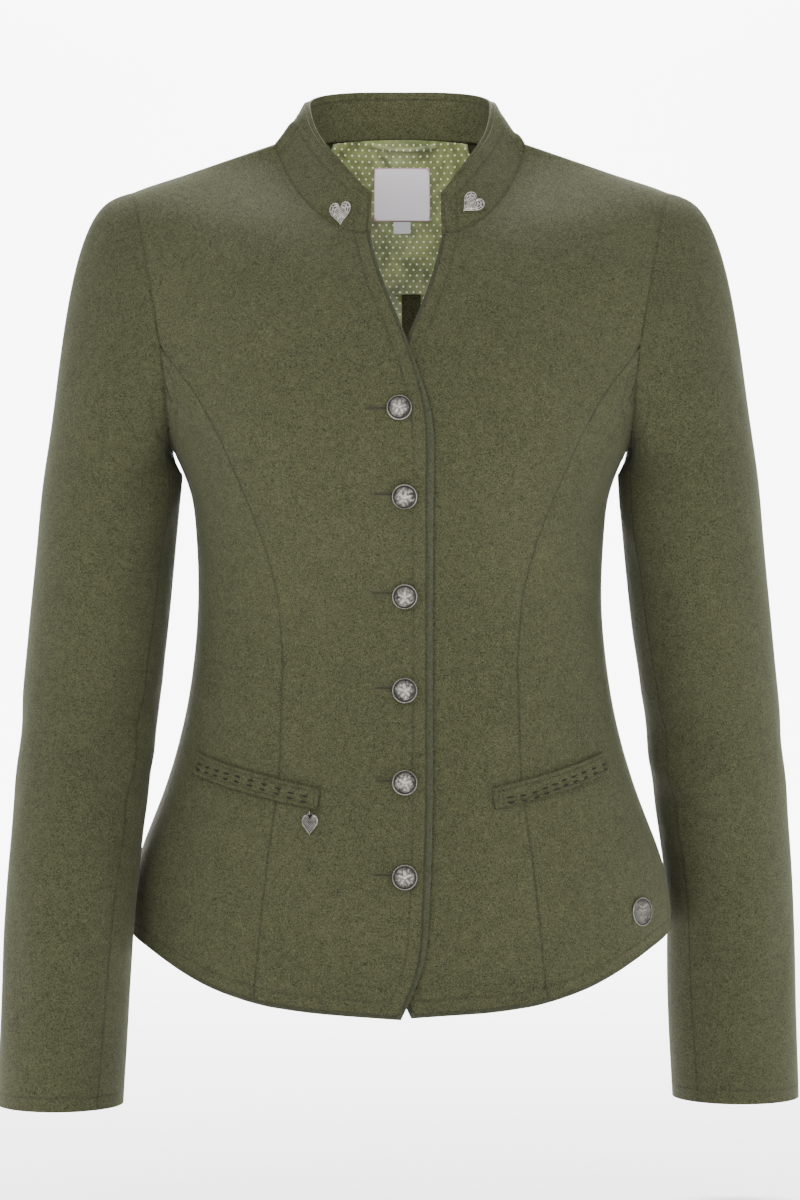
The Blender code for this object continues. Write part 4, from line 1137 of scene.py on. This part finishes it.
def build_buttonholes(finishes, front):
    """Six keyhole buttonholes in bars of thread round a slit, each with a small eyelet at its outer end; dark
    threads along each slit paint the shade in its opening
    """
    tree = surface(front)
    # Dark threads laid along each slit paint the shade in its opening
    slit_shade_form = thread_form(SLIT_LONG, BAR_THICK, BAR_THICK)
    slit_shade_placings = []
    form = thread_form(BAR_LONG, BAR_THICK, BAR_THICK)
    placings = []
    for across, height, end in BUTTONHOLES:
        start, out = seen_on(tree, across, height)
        along = (seen_on(tree, end, height)[0] - start).normalized()
        for step in range(int((end - across) / SLIT_LONG * SLIT_LAP)):
            point, out = seen_on(tree, across + (step + 0.5) * SLIT_LONG / SLIT_LAP, height)
            slit_shade_placings.append(seated(point, along, out, SLIT_LIFT))
        steps = int((end - across) / BAR_EVERY)
        for step in range(steps):
            for side in (-1, 1):
                point, out = seen_on(tree, across + EYELET + (step + 0.25 * side) * BAR_EVERY, height)
                up = out.cross(along).normalized()
                spot = point + up * side * HOLE_HALF
                placings.append(seated(spot, up + along * 0.06 * side, out, BAR_LIFT))
        for step in range(EYELET_BARS):
            turn = 2 * math.pi * (step + 0.5) / EYELET_BARS
            up = out.cross(along).normalized()
            way = along * math.cos(turn) + up * math.sin(turn)
            point, out = seen_on(tree, across, height)
            placings.append(seated(point + way * EYELET, way, out, BAR_LIFT))
    holes = wear(copies("buttonhole_stitches", form, placings), finishes["thread"])
    # The slits' painted shade
    cut = wear(copies("buttonhole_slits", slit_shade_form, slit_shade_placings), finishes["dark_thread_and_slit_shade"])
    discard(form)
    discard(slit_shade_form)
    return [holes, cut]


def build_metal(finishes):
    """Buttons, hearts, badge, staple and charm"""
    form = button_form()
    for index, turn in enumerate(BUTTON_TURNS):
        node = f"button_{index + 1}"
        seat, _ = seat_of(node, turn)
        wear(placed_copy(f"{node}_cast", form, seat), finishes["silver"], [node])
    discard(form)
    form = heart_form(HEART_WIDE, HEART_TALL, HEART_THICK)
    for node, turn in STUD_TURNS:
        seat, _ = seat_of(node, turn)
        wear(placed_copy(f"{node}_cast", form, seat), finishes["bright_silver"], [node])
    discard(form)
    form = badge_form()
    seat, _ = seat_of("hip_badge")
    wear(placed_copy("hip_badge_cast", form, seat), finishes["dull_silver"], ["hip_badge"])
    discard(form)
    heart = heart_form(CHARM_WIDE, CHARM_TALL, CHARM_THICK, True)
    seat, size = seat_of("heart_charm")
    heart.data.transform(Matrix.Translation((0, CHARM_TALL / 2 - size[1] / 2, 0)))
    eye = rope_ring(EYE_RADIUS, EYE_WIRE, CHARM_THICK / 2, 0)
    eye.data.transform(Matrix.Translation((0, size[1] / 2 - EYE_RADIUS - EYE_WIRE, 0)))
    form = joined([heart, eye])
    charm = placed_copy("heart_charm_cast", form, seat)
    wear(charm, finishes["dull_silver"], ["heart_charm"], "charm")
    discard(form)
    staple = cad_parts["charm_staple"]
    staple.data.materials.clear()
    staple.data.materials.append(finishes["dull_silver"].material)


# Cloth pieces: node, region, subdivisions, width and length of the cut, its flat area
PANELS = (
    ("right_front", "body", 3, 0.205, 0.600, 0.0700),
    ("left_front", "body", 3, 0.200, 0.600, 0.0655),
    ("right_side_front", "body", 3, 0.165, 0.430, 0.0440),
    ("left_side_front", "body", 3, 0.165, 0.430, 0.0440),
    ("right_side_back", "body", 3, 0.180, 0.400, 0.0435),
    ("left_side_back", "body", 3, 0.180, 0.400, 0.0435),
    ("right_back", "body", 3, 0.200, 0.570, 0.0650),
    ("left_back", "body", 3, 0.200, 0.570, 0.0650),
    ("collar", "collar", 3, 0.400, 0.055, 0.0151),
    ("right_upper_sleeve", "right_arm", 3, 0.270, 0.640, 0.1225),
    ("right_under_sleeve", "right_arm", 3, 0.105, 0.500, 0.0388),
    ("left_upper_sleeve", "left_arm", 3, 0.270, 0.645, 0.1257),
    ("left_under_sleeve", "left_arm", 3, 0.105, 0.505, 0.0397),
)
INSIDES = (
    ("collar_facing", "collar", 3, 0.400, 0.055, 0.0153),
    ("right_front_facing", "body", 3, 0.018, 0.570, 0.00905),
    ("left_front_facing", "body", 3, 0.018, 0.560, 0.00899),
    ("right_hem_facing", "body", 3, 0.240, 0.017, 0.00357),
    ("left_hem_facing", "body", 3, 0.240, 0.017, 0.00344),
    ("back_hem_facing", "body", 3, 0.520, 0.017, 0.00768),
)
LININGS = (
    ("lining_yoke", "body", 2, 0.160, 0.105, 0.01266),
    ("right_lining", "body", 2, 0.075, 0.096, 0.00663),
    ("left_lining", "body", 2, 0.075, 0.096, 0.00663),
)


def build_cloth(finishes):
    """Every panel, facing and lining, with the topstitching along its raw edges"""
    pieces = {}
    rims = {}
    outer = {}
    inner = {}
    thread = finishes["thread"]
    for rows in (PANELS, INSIDES, LININGS):
        group = [cloth_shell(*row[:3]) for row in rows]
        for piece in group:
            rims[piece.name], outer[piece.name], inner[piece.name] = outline(piece)
        close_seams(group, rims)
        for row, piece in zip(rows, group):
            pieces[row[0]] = piece
            others = [point for other in group if other is not piece for point in rims[other.name]]
            mark(piece, rims[piece.name], others)
    facing = pieces["collar_facing"]
    neck = [point for row in PANELS if row[1] == "body" for point in rims[pieces[row[0]].name]]
    mark(facing, rims[facing.name], neck, COLLAR_SEAM_NEAR)
    form = stitch_form()
    holes = build_buttonholes(finishes, pieces["right_front"])
    for node, region, _, width, length, area in PANELS:
        piece = pieces[node]
        sleeve = region.endswith("arm")
        wear(piece, finishes["sleeve" if sleeve else "wool"], [node])
        inside = CUFF_STITCH_IN if sleeve else EDGE_STITCH_IN
        stitches = topstitch(piece, outer[piece.name], inside, form, thread)
        stitches + holes if node == "right_front" else stitches
    for node, _, _, width, length, area in INSIDES:
        at_neck = node == "collar_facing"
        piece = wear(pieces[node], finishes["collar_inside" if at_neck else "raw"], [node])
        stitches = topstitch(piece, inner[piece.name], COLLAR_STITCH_IN, form, thread) if at_neck else []
    raise_lining(pieces["lining_yoke"])
    for node, _, _, width, length, area in LININGS:
        wear(pieces[node], finishes["satin"], [node])
    discard(form)


def build_stage(finish):
    """A pale floor that curves up into a wall"""
    bpy.ops.object.select_all(action="DESELECT")
    bpy.ops.mesh.primitive_plane_add(size=FLOOR_WIDE, location=(0.0, WALL_AT - FLOOR_WIDE / 2, FLOOR_HEIGHT))
    floor = bpy.context.active_object
    floor.name = "studio_floor"
    bpy.ops.object.mode_set(mode="EDIT")
    bpy.ops.mesh.select_mode(type="EDGE")
    bpy.ops.mesh.select_all(action="DESELECT")
    bpy.ops.object.mode_set(mode="OBJECT")
    for edge in floor.data.edges:
        ends = [floor.data.vertices[index].co.y for index in edge.vertices]
        edge.select = min(ends) > FLOOR_WIDE / 2 - 0.01
    bpy.ops.object.mode_set(mode="EDIT")
    bpy.ops.mesh.extrude_region_move(TRANSFORM_OT_translate={"value": (0.0, 0.0, WALL_TALL)})
    bpy.ops.object.mode_set(mode="OBJECT")
    select_only(floor)
    bpy.ops.object.transform_apply(location=True, rotation=True, scale=True)
    apply(floor, "BEVEL", width=FLOOR_BEND, segments=16, limit_method="ANGLE")
    floor.data.shade_smooth()
    floor.data.materials.append(finish.material)


# Lights: name, place, aim, size across, watts
JACKET_MIDDLE = (0.0, 0.0, -0.3)
LIGHTS = (
    ("key", (-1.5, -2.6, 1.2), JACKET_MIDDLE, 1.8, 40),
    ("fill", (1.9, -2.4, 0.5), JACKET_MIDDLE, 2.2, 26),
    ("top", (0.0, -0.2, 2.2), JACKET_MIDDLE, 2.0, 8),
    ("front", (0.1, -3.0, 0.1), JACKET_MIDDLE, 1.2, 16),
    ("wall", (0.0, 2.6, 3.6), (0.0, 5.0, 0.2), 3.0, 1350),
    ("inside", (0.0, -0.02, -0.19), (0.0, 0.1, -0.13), 0.03, 0.08),
)
WORLD_STRENGTH = 1.15


def area_light(name, place, aim, size, watts):
    """A round soft light that the camera doesn't see"""
    light = bpy.data.lights.new(name, "AREA")
    light.shape = "DISK"
    light.size = size
    light.energy = watts
    lamp = bpy.data.objects.new(name, light)
    lamp.location = place
    lamp.rotation_euler = (Vector(aim) - Vector(place)).to_track_quat("-Z", "Y").to_euler()
    lamp.visible_camera = False
    bpy.context.scene.collection.objects.link(lamp)


def build_lights():
    for row in LIGHTS:
        area_light(*row)
    world = bpy.data.worlds.new("studio")
    bpy.context.scene.world = world
    world.use_nodes = True
    sky = world.node_tree.nodes["Background"]
    sky.inputs["Color"].default_value = WORLD_WHITE
    sky.inputs["Strength"].default_value = WORLD_STRENGTH


def build_camera():
    camera = bpy.data.cameras.new("camera")
    camera.sensor_fit = "VERTICAL"
    camera.sensor_height = SENSOR
    camera.lens = SENSOR * abs(CAMERA_AT[1]) / VIEW_TALL
    mount = bpy.data.objects.new("camera", camera)
    mount.location = CAMERA_AT
    mount.rotation_euler = (math.pi / 2, 0.0, 0.0)
    bpy.context.scene.collection.objects.link(mount)
    bpy.context.scene.camera = mount


build_camera()
# The milled wools differ in painted light and shade, the sleeves darker and the collar's inside lighter, and
# in where their stitching sinks; the silvers in brightness and tarnish
FINISHES = {
    "wool": milled_wool("milled_wool"),
    # The sleeves: the same wool darkened with painted shade
    "sleeve": milled_wool("milled_wool_sleeve", 0.93, CUFF_STITCH_IN),
    # The collar's inside: the same wool lightened with painted light
    "collar_inside": milled_wool("milled_wool_collar_inside", 1.36, COLLAR_STITCH_IN),
    "raw": raw_edge("raw_wool_edge"),
    "satin": dotted_satin("dotted_satin"),
    "label": woven_tape("label_tape", LABEL_WHITE, LABEL_BORDER),
    "tab": woven_tape("size_tape", TAB_WHITE),
    "silver": antique_silver("antique_silver", 0.54, 1.45),
    "bright_silver": antique_silver("polished_silver", 0.78, 2.4),
    "dull_silver": antique_silver("dull_silver", 0.30, 1.1),
    "welt": milled_wool("milled_wool_welt", 0.98, WELT_LINE_IN),
    "thread": sewing_thread("olive_thread", THREAD_OLIVE),
    # Dark thread for the welts' dashes, and painted shade in the buttonhole slits
    "dark_thread_and_slit_shade": sewing_thread("dark_thread_and_slit_shade", THREAD_DARK_AND_SLIT_SHADE),
    "stage": plain("studio_white", STAGE_WHITE, 0.9),
}
build_cloth(FINISHES)
build_small_cloth(FINISHES)
build_metal(FINISHES)
build_stage(FINISHES["stage"])
build_lights()
